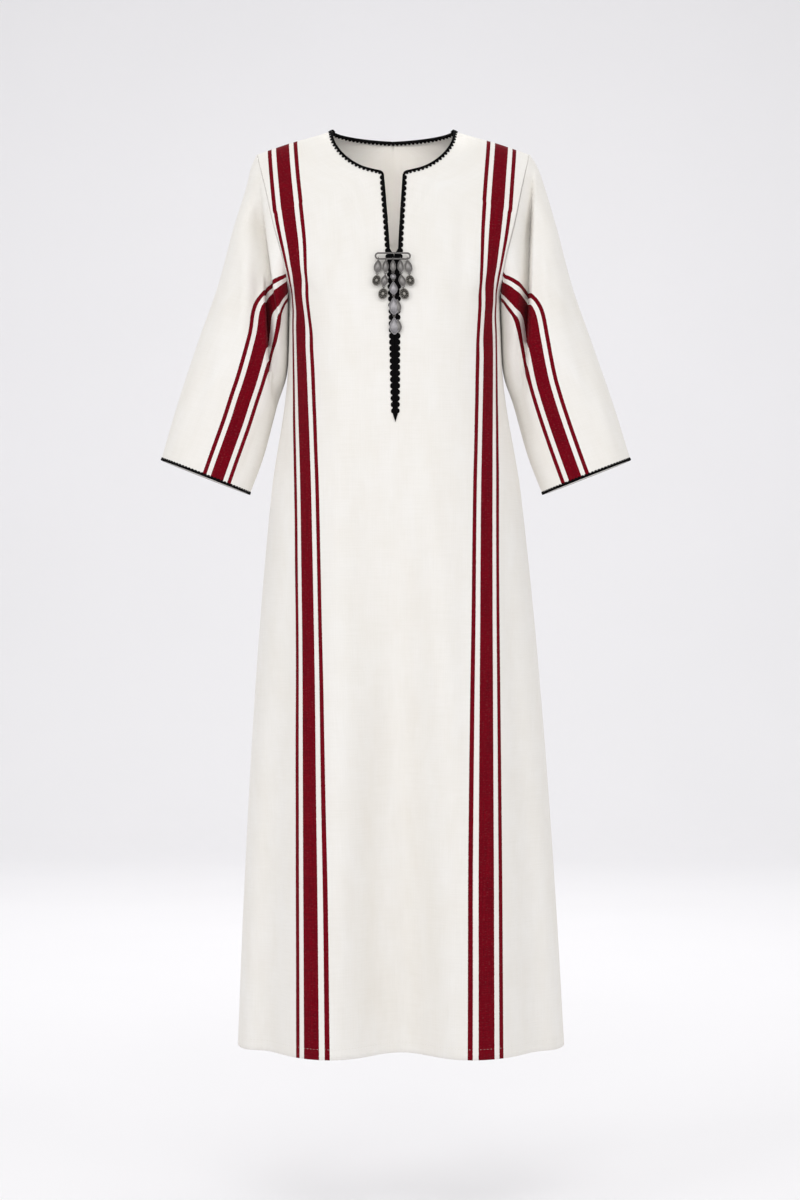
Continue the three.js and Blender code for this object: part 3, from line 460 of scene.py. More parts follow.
def level_row(side, hand, z, inner, columns):
    """One level row of a half panel, evenly spaced over the cloth."""
    half = float(BODY_AT["half"](z))
    x = hand * mix(inner, half, np.sin(np.linspace(0, math.pi / 2, FINE_STEPS)))
    row = evenly(np.stack([x, body_y(side, x, z), np.full_like(x, z)], axis=1), columns)
    row[-1] = (hand * half, side * SEAM_GAP / 2, z)
    return row


def armhole(side, hand, rows):
    line = spline(ARMHOLE)
    line[:, 1] = body_y(side, hand * line[:, 0], line[:, 2])
    line = evenly(line, rows)
    line[:, 0] *= hand
    line[[0, -1], 1] = side * SEAM_GAP / 2
    return line


def neck_edge(side, hand, rows):
    if side < 0:
        line = spline(FRONT_NECK)
    else:
        turn = np.linspace(math.pi / 2, 0, NECK_STEPS)
        line = np.stack([
            NECK_HALF * np.sin(turn),
            0 * turn,
            -BACK_NECK_DROP * np.clip(np.cos(turn), 0, 1) ** BACK_NECK_CURVE,
        ], axis=1)
    line[:, 1] = body_y(side, line[:, 0], line[:, 2])
    line = evenly(line, rows)
    line[:, 0] *= hand
    line[0, 1] = side * SEAM_GAP / 2
    return line


YOKE_ROWS = 70
NECK_ROWS = 30
COLUMNS = 72
SKIRT_STEP = 7.5
CORNER_ROUND = 0.6


def half_panel(side, hand):
    """Rows of points of a half panel, from the shoulder seam to the hem, as an array
    of rows, columns and x, y, z. The lean isn't in them yet."""
    inner = neck_edge(side, hand, NECK_ROWS)
    below = YOKE_ROWS - NECK_ROWS
    z = np.linspace(inner[-1, 2], UNDERARM_Z, below + 1)[1:]
    x = hand * SLIT_AT(z) if side < 0 else 0 * z
    inner = np.vstack([inner, np.stack([x, body_y(side, x, z), z], axis=1)])
    if side < 0:
        corner = (inner[NECK_ROWS - 1] + inner[NECK_ROWS + 1]) / 2
        inner[NECK_ROWS] = mix(inner[NECK_ROWS], corner, CORNER_ROUND)
    outer = armhole(side, hand, YOKE_ROWS)
    u = np.linspace(0, 1, 4 * COLUMNS)
    rows = []
    for a, b in zip(inner, outer):
        x, z = mix(a[0], b[0], u), mix(a[2], b[2], u)
        row = evenly(np.stack([x, body_y(side, x, z), z], axis=1), COLUMNS)
        row[-1] = b
        rows.append(row)
    rows[0][:, 1] = side * SEAM_GAP / 2
    count = round((-LENGTH - UNDERARM_Z) / -SKIRT_STEP)
    skirt = []
    for z in np.linspace(UNDERARM_Z, -LENGTH, count + 1):
        z = SLIT_END_Z if abs(z - SLIT_END_Z) < SKIRT_STEP / 2 else z
        inner_x = float(SLIT_AT(z)) if side < 0 and z > SLIT_END_Z else 0
        skirt.append(level_row(side, hand, z, inner_x, COLUMNS))
    return np.array(rows[:-1] + skirt)


def crease(points, normals, creases):
    """Push points in or out along the creases, and straight back under a ledge."""
    moved = points.copy()
    for c in creases:
        a = np.array([c["x"], c["z"]])
        way = np.array([c["to_x"], c["to_z"]]) - a
        long = np.linalg.norm(way)
        flat = points[..., [0, 2]] - a
        t = np.clip((flat @ way) / long ** 2, -PAST_ENDS, 1 + PAST_ENDS)
        near = flat - t[..., None] * way
        away = np.linalg.norm(near, axis=-1)
        profile = np.exp(-(away / c["width"]) ** 2)
        if "steep" in c:
            outward = near[..., 0] * np.sign(c["x"]) > 0
            steep = ease(SHARP_SHARE * c["width"], 0, away)
            sloping = np.exp(-away / (SLOPE_SHARE * c["width"]))
            profile = np.where(outward == (c["steep"] == "out"), steep, sloping)
        ends = ease(-PAST_ENDS, END_EASE, t) * ease(1 + PAST_ENDS, 1 - END_EASE, t)
        facing = ease(0, FACE_DEPTH, c["side"] * points[..., 1]) if "side" in c else 1
        depth = c["depth"] * ends * facing * profile
        if "steep" in c:
            moved[..., 1] -= c["side"] * depth
        else:
            moved -= normals * depth[..., None]
    return moved


def raise_shoulder(points):
    """Round the straight shoulder seam up a little, less and less down the cloth."""
    x, z = np.abs(points[..., 0]), points[..., 2]
    fall = np.maximum(0, shoulder_line(np.minimum(x, SHOULDER_HALF)) - z)
    along = ease(*ROUNDED_FROM, x) * (1 - ease(*ROUNDED_TO, x))
    points[..., 2] += SHOULDER_ROUND * along * np.exp(-fall / ROUNDED_FALL)
    return points


def normals_of(rows, closed=False):
    """Unit normals of a grid of points, across its rows and columns."""
    return unit(np.cross(way_along(rows, 1, closed), way_along(rows)))


def run_across(rows):
    """Length along each row from its first point."""
    steps = np.linalg.norm(np.diff(rows, axis=1), axis=2)
    return np.concatenate([np.zeros((len(rows), 1)), np.cumsum(steps, axis=1)], axis=1)


def row_at(rows, z):
    """The number of the row whose inner edge is nearest to a height."""
    return int(np.argmin(np.abs(rows[:, 0, 2] - z)))


def hang(rows, normals, creases):
    """Lay the creases, round the shoulder and let the cloth lean as it hangs."""
    rows = raise_shoulder(crease(rows, normals, creases))
    rows[:, :, 0] += lean(rows[:, :, 2])
    return rows


# ---- meshes ----

def add_object(name, data):
    made = bpy.data.objects.new(name, data)
    bpy.context.scene.collection.objects.link(made)
    return made


def new_object(name, vertices, faces, stuff=None):
    mesh = bpy.data.meshes.new(name)
    mesh.from_pydata([tuple(v) for v in vertices], [], faces)
    mesh.validate()
    mesh.update()
    if stuff:
        mesh.materials.append(stuff)
    mesh.polygons.foreach_set("use_smooth", [True] * len(mesh.polygons))
    return add_object(name, mesh)


def grid_quads(grid, forward=True):
    """Quads between the points of a grid of point numbers."""
    quads = np.stack([grid[:-1, :-1], grid[:-1, 1:], grid[1:, 1:], grid[1:, :-1]], axis=2)
    quads = quads.reshape(-1, 4)
    return (quads if forward else quads[:, ::-1]).tolist()


def tube_faces(count, around, closed=False):
    """Quads round a tube of so many rings, with its two ends if it isn't closed."""
    rings = np.arange(count * around).reshape(count, around)
    wall = np.hstack([rings, rings[:, :1]])
    if closed:
        return grid_quads(np.vstack([wall, wall[:1]]).T)
    return grid_quads(wall.T) + [rings[0].tolist(), rings[-1, ::-1].tolist()]


def point_attribute(piece, name, values):
    """A number or a vector for each point."""
    values = np.asarray(values, np.float32)
    kind, field = ("FLOAT", "value") if values.ndim == 1 else ("FLOAT_VECTOR", "vector")
    layer = piece.data.attributes.new(name, kind, "POINT")
    layer.data.foreach_set(field, values.ravel())


def hand_over(piece, body, cad_name=None):
    """Hide the solid that a piece stands for, and give the piece its body."""
    if cad_name:
        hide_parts(cad_name)
    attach(piece, body)


def uv_from_points(piece, uv):
    """A UV map in metres of cloth, from one pair a point."""
    layer = piece.data.uv_layers.new(name="Cloth")
    corner = np.empty(len(piece.data.loops), np.int32)
    piece.data.loops.foreach_get("vertex_index", corner)
    layer.data.foreach_set("uv", np.asarray(uv, np.float32)[corner].ravel())


def cloth_piece(name, points, quads, uv, band, material):
    piece = new_object(name, np.asarray(points) * MM, quads, material)
    uv_from_points(piece, np.asarray(uv) * MM)
    point_attribute(piece, "band", band)
    solidify = piece.modifiers.new("thickness", "SOLIDIFY")
    solidify.thickness = CLOTH_THICK * MM
    solidify.offset = -1
    return piece


# ---- materials ----

def linear(hex_colour):
    """An sRGB hex colour as linear RGBA."""
    out = []
    for k in (0, 2, 4):
        c = int(hex_colour[k:k + 2], 16) / 255
        out.append(c / 12.92 if c <= 0.04045 else ((c + 0.055) / 1.055) ** 2.4)
    return (*out, 1)


def node(tree, kind, settings=None, inputs=None):
    """Add a node with its properties. Its inputs, by name or number, are set to values
    or linked to sockets, or to the first output in use of another node."""
    made = tree.nodes.new(kind)
    for key, value in (settings or {}).items():
        setattr(made, key, value)
    for key, value in (inputs or {}).items():
        if isinstance(value, bpy.types.Node):
            value = next(out for out in value.outputs if out.enabled)
        if isinstance(value, bpy.types.NodeSocket):
            tree.links.new(value, made.inputs[key])
        else:
            made.inputs[key].default_value = value
    return made


def material(name):
    """An empty material, and node() for its own tree."""
    made = bpy.data.materials.new(name)
    made.use_nodes = True
    made.node_tree.nodes.clear()
    return made, partial(node, made.node_tree)


# A mix of colours, and the numbers of its two colour inputs.
COLOURS = {"data_type": "RGBA"}
ONE, OTHER = 6, 7


def finish(add, shader, height=None, strength=0, depth=0):
    """The end of a material: relief from a height in metres, shader and output."""
    if height is not None:
        shader["Normal"] = add("ShaderNodeBump", inputs={
            "Height": height, "Strength": strength, "Distance": depth})
    surface = add("ShaderNodeBsdfPrincipled", inputs=shader)
    add("ShaderNodeOutputMaterial", inputs={"Surface": surface})


def slubby_cotton():
    """Plain-woven off-white cotton with thick-and-thin yarns and woven crimson
    bands: matt, faintly streaked both ways, a soft bloom at grazing angles."""
    made, add = material("slubby_plain_weave_cotton")
    uv = add("ShaderNodeUVMap", {"uv_map": "Cloth"})
    band = add("ShaderNodeAttribute", {"attribute_name": "band"}).outputs["Fac"]

    def streaks(across_mm, down_mm):
        """Noise drawn out one way, as thick and thin yarns are."""
        size = (1 / (across_mm * MM), 1 / (down_mm * MM), 1)
        scaled = add("ShaderNodeMapping", inputs={"Vector": uv, "Scale": size})
        return add("ShaderNodeTexNoise", {"noise_dimensions": "2D"}, {
            "Vector": scaled, "Scale": 1.0, "Detail": 2.0, "Roughness": 0.6})

    yarns = add("ShaderNodeMath", {"operation": "ADD"}, {0: streaks(46, 1.6), 1: streaks(1.6, 60)})
    tone = add("ShaderNodeMapRange", inputs={"Value": yarns, "From Min": 0.6, "From Max": 1.4})
    white = add("ShaderNodeMix", COLOURS, {
        "Factor": tone, ONE: linear("F3F1ED"), OTHER: linear("F7F5F2")})
    cloudy = add("ShaderNodeMix", {"data_type": "RGBA", "blend_type": "MULTIPLY"}, {
        "Factor": streaks(40, 90), ONE: white, OTHER: linear("F8F6F2")})

    # Distance across the band, roughened by the yarns that cross its edge.
    frayed = add("ShaderNodeMath", {"operation": "MULTIPLY_ADD"}, {
        0: streaks(9, 0.9), 1: 0.9, 2: -0.45})
    ragged = add("ShaderNodeMath", {"operation": "ADD"}, {0: band, 1: frayed})
    off = add("ShaderNodeMath", {"operation": "ABSOLUTE"}, {0: ragged})
    wide = add("ShaderNodeMath", {"operation": "LESS_THAN"}, {0: off, 1: WIDE_STRIPE / 2})
    thin = add("ShaderNodeMath", {"operation": "COMPARE"}, {
        0: off, 1: WIDE_STRIPE / 2 + STRIPE_SPACE + THIN_STRIPE / 2, 2: THIN_STRIPE / 2})
    striped = add("ShaderNodeMath", {"operation": "MAXIMUM"}, {0: wide, 1: thin})
    red = add("ShaderNodeMix", COLOURS, {
        "Factor": tone, ONE: linear("5E0111"), OTHER: linear("7C0216")})
    # White yarns that cross a stripe show through it here and there.
    speck = add("ShaderNodeMapRange", inputs={
        "Value": streaks(5, 0.8), "From Min": 0.62, "From Max": 0.8, "To Max": 0.12})
    flecked = add("ShaderNodeMix", COLOURS, {"Factor": speck, ONE: red, OTHER: linear("C9A9A4")})
    colour = add("ShaderNodeMix", COLOURS, {"Factor": striped, ONE: cloudy, OTHER: flecked})

    # Threads are 0.5 mm apart in the real cloth and drawn at 1.2 mm so that they show.
    thread = 1 / (1.2 * MM)
    weave = add("ShaderNodeMapping", inputs={"Vector": uv, "Scale": (thread, thread, 1)})
    over_under = add("ShaderNodeTexChecker", inputs={"Vector": weave, "Scale": 1.0})
    height = add("ShaderNodeMath", {"operation": "MULTIPLY_ADD"}, {
        0: over_under.outputs["Fac"], 1: 0.25, 2: yarns})
    finish(add, {"Base Color": colour, "Roughness": 0.95, "Specular IOR Level": 0.08,
                 "Sheen Weight": 0.03, "Sheen Roughness": 0.5}, height, 0.15, 0.0003)
    return made


def clouded(name, cloud, shades, shader, strength=0, depth=0):
    """A material of two close shades, clouded by a noise that can also stand up."""
    made, add = material(name)
    place = add("ShaderNodeTexCoord").outputs["Object"]
    cloud = add("ShaderNodeTexNoise", inputs={"Vector": place, **cloud})
    dark, light = shades
    colour = add("ShaderNodeMix", COLOURS, {
        "Factor": cloud, ONE: linear(dark), OTHER: linear(light)})
    finish(add, {"Base Color": colour, **shader}, cloud if strength else None, strength, depth)
    return made


def black_braid():
    """Crocheted black cotton braid: dull, with a tight ribbed twist."""
    twist = {"Scale": 1 / (1.4 * MM), "Detail": 3.0, "Roughness": 0.6}
    return clouded("black_crochet_cotton_braid", twist, ("020202", "0C0A0C"),
                   {"Roughness": 0.9, "Specular IOR Level": 0.08}, 0.6, 0.0004)


def white_thread():
    """Spun off-white cotton thread: dull, lighter and darker where its plies turn."""
    plies = {"Scale": 1 / (0.8 * MM), "Detail": 2.0}
    return clouded("spun_cotton_sewing_thread", plies, ("D8D2C8", "F1EDE6"),
                   {"Roughness": 0.8, "Specular IOR Level": 0.2}, 0.4, 0.0001)


def studio_paper():
    """Matt seamless background paper with a barely clouded surface."""
    return clouded("seamless_background_paper", {"Scale": 1.5}, ("F6F5F7", "F9F8FA"),
                   {"Roughness": 0.95, "Specular IOR Level": 0.1})


def tarnished_silver(name, tarnish_and_shade, rubbed_and_highlight):
    """Cast silver gone dull grey: black in the hollows, rubbed bright on the crowns,
    with the pitted skin of a sand casting. On the domes the same dark and light also
    stand for painted shade at the foot and a painted highlight on the crown."""
    made, add = material(name)
    place = add("ShaderNodeTexCoord").outputs["Object"]
    pits = add("ShaderNodeTexNoise", inputs={
        "Vector": place, "Scale": 1 / (2.2 * MM), "Detail": 4.0, "Roughness": 0.65})
    # Each point's brightness: tarnish and wear, and on the domes painted shade and a painted
    # highlight.
    rub = add("ShaderNodeAttribute", {"attribute_name": "rub"}).outputs["Fac"]
    patchy = add("ShaderNodeMapRange", inputs={
        "Value": pits, "From Min": 0.3, "From Max": 0.7, "To Min": 0.7, "To Max": 1.15})
    worn_and_lit = add("ShaderNodeMath", {"operation": "MULTIPLY", "use_clamp": True}, {
        0: rub, 1: patchy})
    colour = add("ShaderNodeMix", COLOURS, {
        "Factor": worn_and_lit, ONE: linear(tarnish_and_shade), OTHER: linear(rubbed_and_highlight)})
    rough = add("ShaderNodeMapRange", inputs={"Value": pits, "To Min": 0.36, "To Max": 0.6})
    finish(add, {"Base Color": colour, "Roughness": rough, "Metallic": 1.0}, pits, 0.3, 0.0003)
    return made


COTTON = slubby_cotton()
BRAID = black_braid()
THREAD = white_thread()
SILVER = tarnished_silver("tarnished_cast_silver", "454240", "979492")
DARK_SILVER = tarnished_silver("blackened_cast_silver", "3A3835", "A19D96")
PALE_SILVER = tarnished_silver("rubbed_cast_silver", "3A3839", "B5B2B5")
PAPER = studio_paper()


# ---- front and back ----

TURN_ROWS = 5
# The hem's fold: set in from the cloth, and up from its edge.
HEM_FOLD = [(0.5, -0.35), (1.3, -0.1)]
HEM_SET_IN = 2
FAR_FROM_BAND = 200


def panel_points(side):
    """Both half panels with their creases, lean, band distance and cloth lengths."""
    halves = []
    for hand in (-1, 1):
        rows = half_panel(side, hand)
        normals = normals_of(rows)
        if normals[len(rows) // 2, COLUMNS // 2, 1] * side < 0:
            normals = -normals
        run = run_across(rows)
        band_x = BAND_AT[hand](rows[:, :, 2])
        band = np.empty(run.shape)
        for i in range(len(rows)):
            outward = np.abs(rows[i, :, 0])
            if i < NECK_ROWS:
                band[i] = outward - band_x[i]
            else:
                middle = np.interp(0, outward - band_x[i], run[i])
                band[i] = run[i] - middle
        band /= BAND_SPREAD_AT(rows[:, :, 2])
        rows = hang(rows, normals, FRONT_CREASES if side < 0 else BACK_CREASES)
        down = run_across(rows[None, :, COLUMNS // 2]).T
        uv = np.stack([hand * run, -np.broadcast_to(down, run.shape)], axis=2)
        halves.append(dict(hand=hand, rows=rows, normals=normals, band=band, uv=uv))
    return halves


def turn_hem(half):
    """The hem turned up inside: a few more rows, set in and going up."""
    rows, normals = half["rows"], half["normals"]
    last = rows[-1]
    inward = -normals[-1]
    steps = HEM_FOLD + [(HEM_SET_IN, HEM_DEPTH * k / (TURN_ROWS - 2))
                        for k in range(1, TURN_ROWS - 1)]
    extra = []
    for set_in, up in steps:
        row = last + inward * set_in
        row[:, 2] += up
        extra.append(row)
    half["rows"] = np.concatenate([rows, np.array(extra)])
    half["band"] = np.concatenate([half["band"], np.repeat(half["band"][-1:], len(steps), 0)])
    uv = np.repeat(half["uv"][-1:], len(steps), 0)
    uv[:, :, 1] -= np.arange(1, len(steps) + 1)[:, None] * (HEM_DEPTH / len(steps))
    half["uv"] = np.concatenate([half["uv"], uv])
    return half


def join_halves(side, halves):
    """One set of points and quads from two half grids that share their centre line
    below the slit, or below the back neck."""
    joined = row_at(halves[0]["rows"], SLIT_END_Z) if side < 0 else NECK_ROWS
    kept = np.ones((2, *halves[0]["rows"].shape[:2]), bool)
    kept[1, joined:, 0] = False
    index = (np.cumsum(kept) - 1).reshape(kept.shape)
    index[1, joined:, 0] = index[0, joined:, 0]
    points, uv, band = (np.concatenate([half[key][k] for half, k in zip(halves, kept)])
                        for key in ("rows", "uv", "band"))
    quads = grid_quads(index[0], side < 0) + grid_quads(index[1], side > 0)
    return points, quads, uv, band


def build_panel(side, name):
    halves = [turn_hem(half) for half in panel_points(side)]
    points, quads, uv, band = join_halves(side, halves)
    piece = cloth_piece(name, points, quads, uv, band, COTTON)
    return piece, halves


# ---- sleeves ----

SLEEVE_ROWS = 124
SLEEVE_HALF = 116
SLEEVE_AROUND = 2 * SLEEVE_HALF
GRAIN_WAY = (0.318, -0.948)


def dragged_in(hand, points):
    """How far the drag folds move a sleeve's cloth towards its middle."""
    x, y, z = np.abs(points[..., 0]), points[..., 1], points[..., 2]
    depth = np.zeros(x.shape)
    for f in DRAG_FOLDS:
        if f["hand"] == hand:
            window = (ease(-f["top"], -f["top"] + DRAG_EASE[0], -z)
                      * ease(f["foot"], f["foot"] + DRAG_EASE[1], z))
            depth += f["depth"] * window * np.exp(-((x - f["x"]) / f["half"]) ** 2)
    return -np.sign(y) * depth * ease(*DRAG_EDGE, np.abs(y))


def sleeve_rings(hand):
    """Rings of a sleeve from the armhole to the cuff, before the lean. A ring starts on
    the outer edge and runs down the front to the underarm, then up the back."""
    outer = evenly(spline(SLEEVE_OUTER_EDGE, x="left" if hand > 0 else "right"), SLEEVE_ROWS)
    inner = evenly(spline(SLEEVE_INNER_EDGE), SLEEVE_ROWS)
    v = np.linspace(0, 1, SLEEVE_ROWS + 1)
    depth = curve(SLEEVE_DEPTHS, "along", "half")(v)
    turn = np.linspace(0, 2 * math.pi, SLEEVE_AROUND, endpoint=False)
    power = 2 / SLEEVE_ROUND
    along = (1 - np.sign(np.cos(turn)) * np.abs(np.cos(turn)) ** power) / 2
    deep = -np.sign(np.sin(turn)) * np.abs(np.sin(turn)) ** power
    plain = mix(outer[:, None], inner[:, None], along[None, :, None])
    plain[:, :, 0] *= hand
    plain[:, :, 1] = depth[:, None] * deep[None, :]
    start = np.concatenate([
        armhole(-1, hand, SLEEVE_HALF),
        armhole(1, hand, SLEEVE_HALF)[1:-1][::-1],
    ])
    start[[0, SLEEVE_HALF], 1] = 0
    kept = 1 - ease(0, ARMHOLE_BLEND, v)
    rings = plain + (start - plain[0])[None] * kept[:, None, None]
    rings[:, :, 1] += dragged_in(hand, rings) * ease(0, 0.1, v)[:, None]
    step = rings[1] - rings[0]
    step /= np.linalg.norm(step, axis=1, keepdims=True)
    rings[0] += step * SEAM_GAP
    return rings


def band_on_sleeve(hand, rings):
    """Signed distance of each point from the band's middle line, out from the
    underarm, measured over the front of the sleeve."""
    middle_x = curve(BAND_ON_SLEEVE, "z", "right" if hand < 0 else "left")
    half = rings[:, :SLEEVE_HALF + 1][:, ::-1]
    out = np.abs(half[:, :, 0]) - middle_x(half[:, :, 2])
    line, crossing = [], []
    for ring, value in zip(half, out):
        k = int(np.argmax(value > 0))
        t = 0 if k == 0 else value[k - 1] / (value[k - 1] - value[k])
        k = max(k, 1)
        line.append(mix(ring[k - 1], ring[k], t))
        crossing.append(k - 1 + t)
    line = evenly(line, 3 * SLEEVE_ROWS)
    past = np.arange(SLEEVE_HALF, -1, -1)[None, :] > np.array(crossing)[:, None]
    band = np.full(rings.shape[:2], float(FAR_FROM_BAND))
    for i in range(len(rings)):
        gap = rings[i, :SLEEVE_HALF + 1, None] - line[None]
        near = np.sqrt((gap ** 2).sum(axis=2).min(axis=1))
        band[i, :SLEEVE_HALF + 1] = np.where(past[i], near, -near)
    return band


def build_sleeve(hand, name):
    rings = sleeve_rings(hand)
    normals = normals_of(rings, closed=True)
    outward = rings - rings.mean(axis=1, keepdims=True)
    if (normals * outward).sum() < 0:
        normals = -normals
    band = band_on_sleeve(hand, rings)
    closed = np.concatenate([rings, rings[:, :1]], axis=1)
    run = run_across(closed)
    from_seam = run[:, SLEEVE_HALF:SLEEVE_HALF + 1] - run
    rings = hang(rings, normals, [c for c in SLEEVE_CREASES if c["hand"] == hand])
    down = hand * GRAIN_WAY[0] * rings[:, :, 0] + GRAIN_WAY[1] * rings[:, :, 2]
    uv = np.stack([from_seam[:, :-1], -down], axis=2)
    numbers = np.arange(rings[..., 0].size).reshape(rings.shape[:2])
    quads = grid_quads(np.hstack([numbers, numbers[:, :1]]), hand < 0)
    piece = cloth_piece(name, rings.reshape(-1, 3), quads, uv.reshape(-1, 2), band.ravel(),
                        COTTON)
    return piece, rings, normals


front, front_halves = build_panel(-1, "striped_front")
back, back_halves = build_panel(1, "striped_back")
sleeve_left, left_rings, left_normals = build_sleeve(1, "set_in_sleeve_left")
sleeve_right, right_rings, right_normals = build_sleeve(-1, "set_in_sleeve_right")
CLOTH = {
    "dress_front": (front, (0.76, 1.44), 0.74),
    "dress_back": (back, (0.76, 1.44), 0.71),
    "sleeve_left": (sleeve_left, (0.42, 0.56), 0.16),
    "sleeve_right": (sleeve_right, (0.42, 0.56), 0.16),
}
for cad_name, (piece, flat, area) in CLOTH.items():
    hand_over(piece, "dress", cad_name)


# ---- pieces repeated along a line ----

def repeat_tree():
    """Geometry Nodes: a rounded pip at each point, along its way, standing on its out."""
    tree = bpy.data.node_groups.new("pips_along_a_line", "GeometryNodeTree")
    sockets = dict(Geometry="Geometry", Length="Float", Width="Float", Height="Float",
                   Facets="Int", Material="Material")
    for name, kind in sockets.items():
        tree.interface.new_socket(name, in_out="INPUT", socket_type="NodeSocket" + kind)
    tree.interface.new_socket("Geometry", in_out="OUTPUT", socket_type="NodeSocketGeometry")
    add = partial(node, tree)
    given = add("NodeGroupInput").outputs
    size = add("ShaderNodeCombineXYZ", inputs={
        "X": given["Length"], "Y": given["Width"], "Z": given["Height"]})
    ball = add("GeometryNodeMeshIcoSphere", inputs={
        "Subdivisions": given["Facets"], "Radius": 0.5})
    pip = add("GeometryNodeTransform", inputs={"Geometry": ball, "Scale": size})
    kinds = dict(way="FLOAT_VECTOR", out="FLOAT_VECTOR", share="FLOAT")
    way, out, share = (
        add("GeometryNodeInputNamedAttribute", {"data_type": kind}, {"Name": name})
        for name, kind in kinds.items())
    along = add("FunctionNodeAlignRotationToVector", {"axis": "X"}, {"Vector": way})
    upright = add("FunctionNodeAlignRotationToVector", {"axis": "Z", "pivot_axis": "X"}, {
        "Rotation": along, "Vector": out})
    placed = add("GeometryNodeInstanceOnPoints", inputs={
        "Points": given["Geometry"], "Instance": pip, "Rotation": upright, "Scale": share})
    real = add("GeometryNodeRealizeInstances", inputs={"Geometry": placed})
    smooth = add("GeometryNodeSetShadeSmooth", inputs={"Geometry": real})
    coloured = add("GeometryNodeSetMaterial", inputs={
        "Geometry": smooth, "Material": given["Material"]})
    add("NodeGroupOutput", inputs={"Geometry": coloured})
    return tree


PIPS = repeat_tree()


def pips(name, places, size, stuff, facets=2):
    """One mesh of pips of the given length, width and height. Each place is a point,
    its way along, its way out and a share of the full size."""
    points, ways, outs, shares = (np.array(column, float) for column in zip(*places))
    holder = new_object(name + "_places", points * MM, [])
    for key, values in (("way", ways), ("out", outs), ("share", shares)):
        point_attribute(holder, key, values)
    modifier = holder.modifiers.new("pips", "NODES")
    modifier.node_group = PIPS
    values = dict(zip(("Length", "Width", "Height"), (v * MM for v in size)))
    values.update(Facets=facets, Material=stuff)
    for item in PIPS.interface.items_tree:
        if item.in_out == "INPUT" and item.name in values:
            modifier[item.identifier] = values[item.name]
    graph = bpy.context.evaluated_depsgraph_get()
    baked = bpy.data.meshes.new_from_object(holder.evaluated_get(graph), depsgraph=graph)
    bpy.data.objects.remove(holder)
    baked.name = name
    return add_object(name, baked)


def join(name, pieces):
    """Make one object of several."""
    with bpy.context.temp_override(active_object=pieces[0], object=pieces[0],
                                   selected_editable_objects=pieces, selected_objects=pieces):
        bpy.ops.object.join()
    pieces[0].name = name
    pieces[0].data.name = name
    return pieces[0]


# ---- braid ----

def edge_line(points, inward, outward, closed=False):
    """An edge: at each of its places a point and the ways along, in and out, all square."""
    along = unit(way_along(points, closed=closed))
    inward = unit(inward - (inward * along).sum(1, keepdims=True) * along)
    outward = outward - (outward * along).sum(1, keepdims=True) * along
    outward = unit(outward - (outward * inward).sum(1, keepdims=True) * inward)
    return np.stack([points, along, inward, outward], axis=1)


def spread(line, pitch, closed=False):
    """Places a pitch apart: their points and their ways along, in and out."""
    if closed:
        line = np.concatenate([line, line[:1]])
    steps = np.linalg.norm(np.diff(line[:, 0], axis=0), axis=1)
    run = np.concatenate([[0], np.cumsum(steps / pitch)])
    total = max(1, round(run[-1]))
    goal = (np.arange(total) + 0.5) * run[-1] / total
    columns = line.reshape(len(line), -1).T
    at = np.stack([np.interp(goal, run, column) for column in columns], axis=1)
    return at.reshape(-1, 4, 3).swapaxes(0, 1)


def band(name, line, section, share, past=None, closed=False):
    """The plain band swept along an edge, and so far past the edge."""
    past = 0 * share if past is None else past
    rings = []
    for (p, _, i, o), k, out in zip(line, share, past):
        rings.append([p + i * (min(reach, 0) + max(reach, 0) * k - out * (reach < 1)) + o * lift
                      for reach, lift in section])
    faces = tube_faces(len(rings), len(section), closed)
    return point_out(new_object(name, np.array(rings).reshape(-1, 3) * MM, faces, BRAID))


def point_out(piece):
    """Turn a closed mesh's faces outwards."""
    shape = bmesh.new()
    shape.from_mesh(piece.data)
    bmesh.ops.recalc_face_normals(shape, faces=shape.faces)
    shape.to_mesh(piece.data)
    shape.free()
    return piece


def scallops(name, line, pitch, size, reach, share_at, lift=SCALLOP_LIFT, closed=False):
    """The row of scallops along the outer side of a plain band."""
    point, along, inward, outward = spread(line, pitch, closed)
    shares = share_at(point)
    middle = point + inward * (reach * shares)[:, None] + outward * lift
    return pips(name, list(zip(middle, along, outward, shares)), size, BRAID)


def whole(points):
    return np.ones(len(points))


def towards_tip(points):
    """The braid narrows over the foot of the slit."""
    return BRAID_SHARE_AT(points[:, 2])


def neck_line(halves, count, foot_out=None):
    """Down the inner edge of one half and up the other's, square at the foot."""
    sides = []
    for half in halves:
        rows, normals = half["rows"][:count], half["normals"][:count]
        sides.append((rows[:, 0], rows[:, 3] - rows[:, 0], normals[:, 0]))
    right, left = sides
    foot = (halves[0]["rows"][count, 0], (0, 0, -1), foot_out or right[2][-1])
    return edge_line(*(np.vstack([a, [b], c[::-1]]) for a, b, c in zip(right, foot, left)))


def end_turns(name, line, offset, size):
    """A pip at each end of a run, where the braid turns over the shoulder seam."""
    out, y, z = offset
    ends = [(line[k, 0] + np.array([hand * out, y, z]), (1, 0, 0), (0, 0, 1), 1)
            for k, hand in ((0, 1), (-1, -1))]
    return pips(name, ends, size, BRAID)


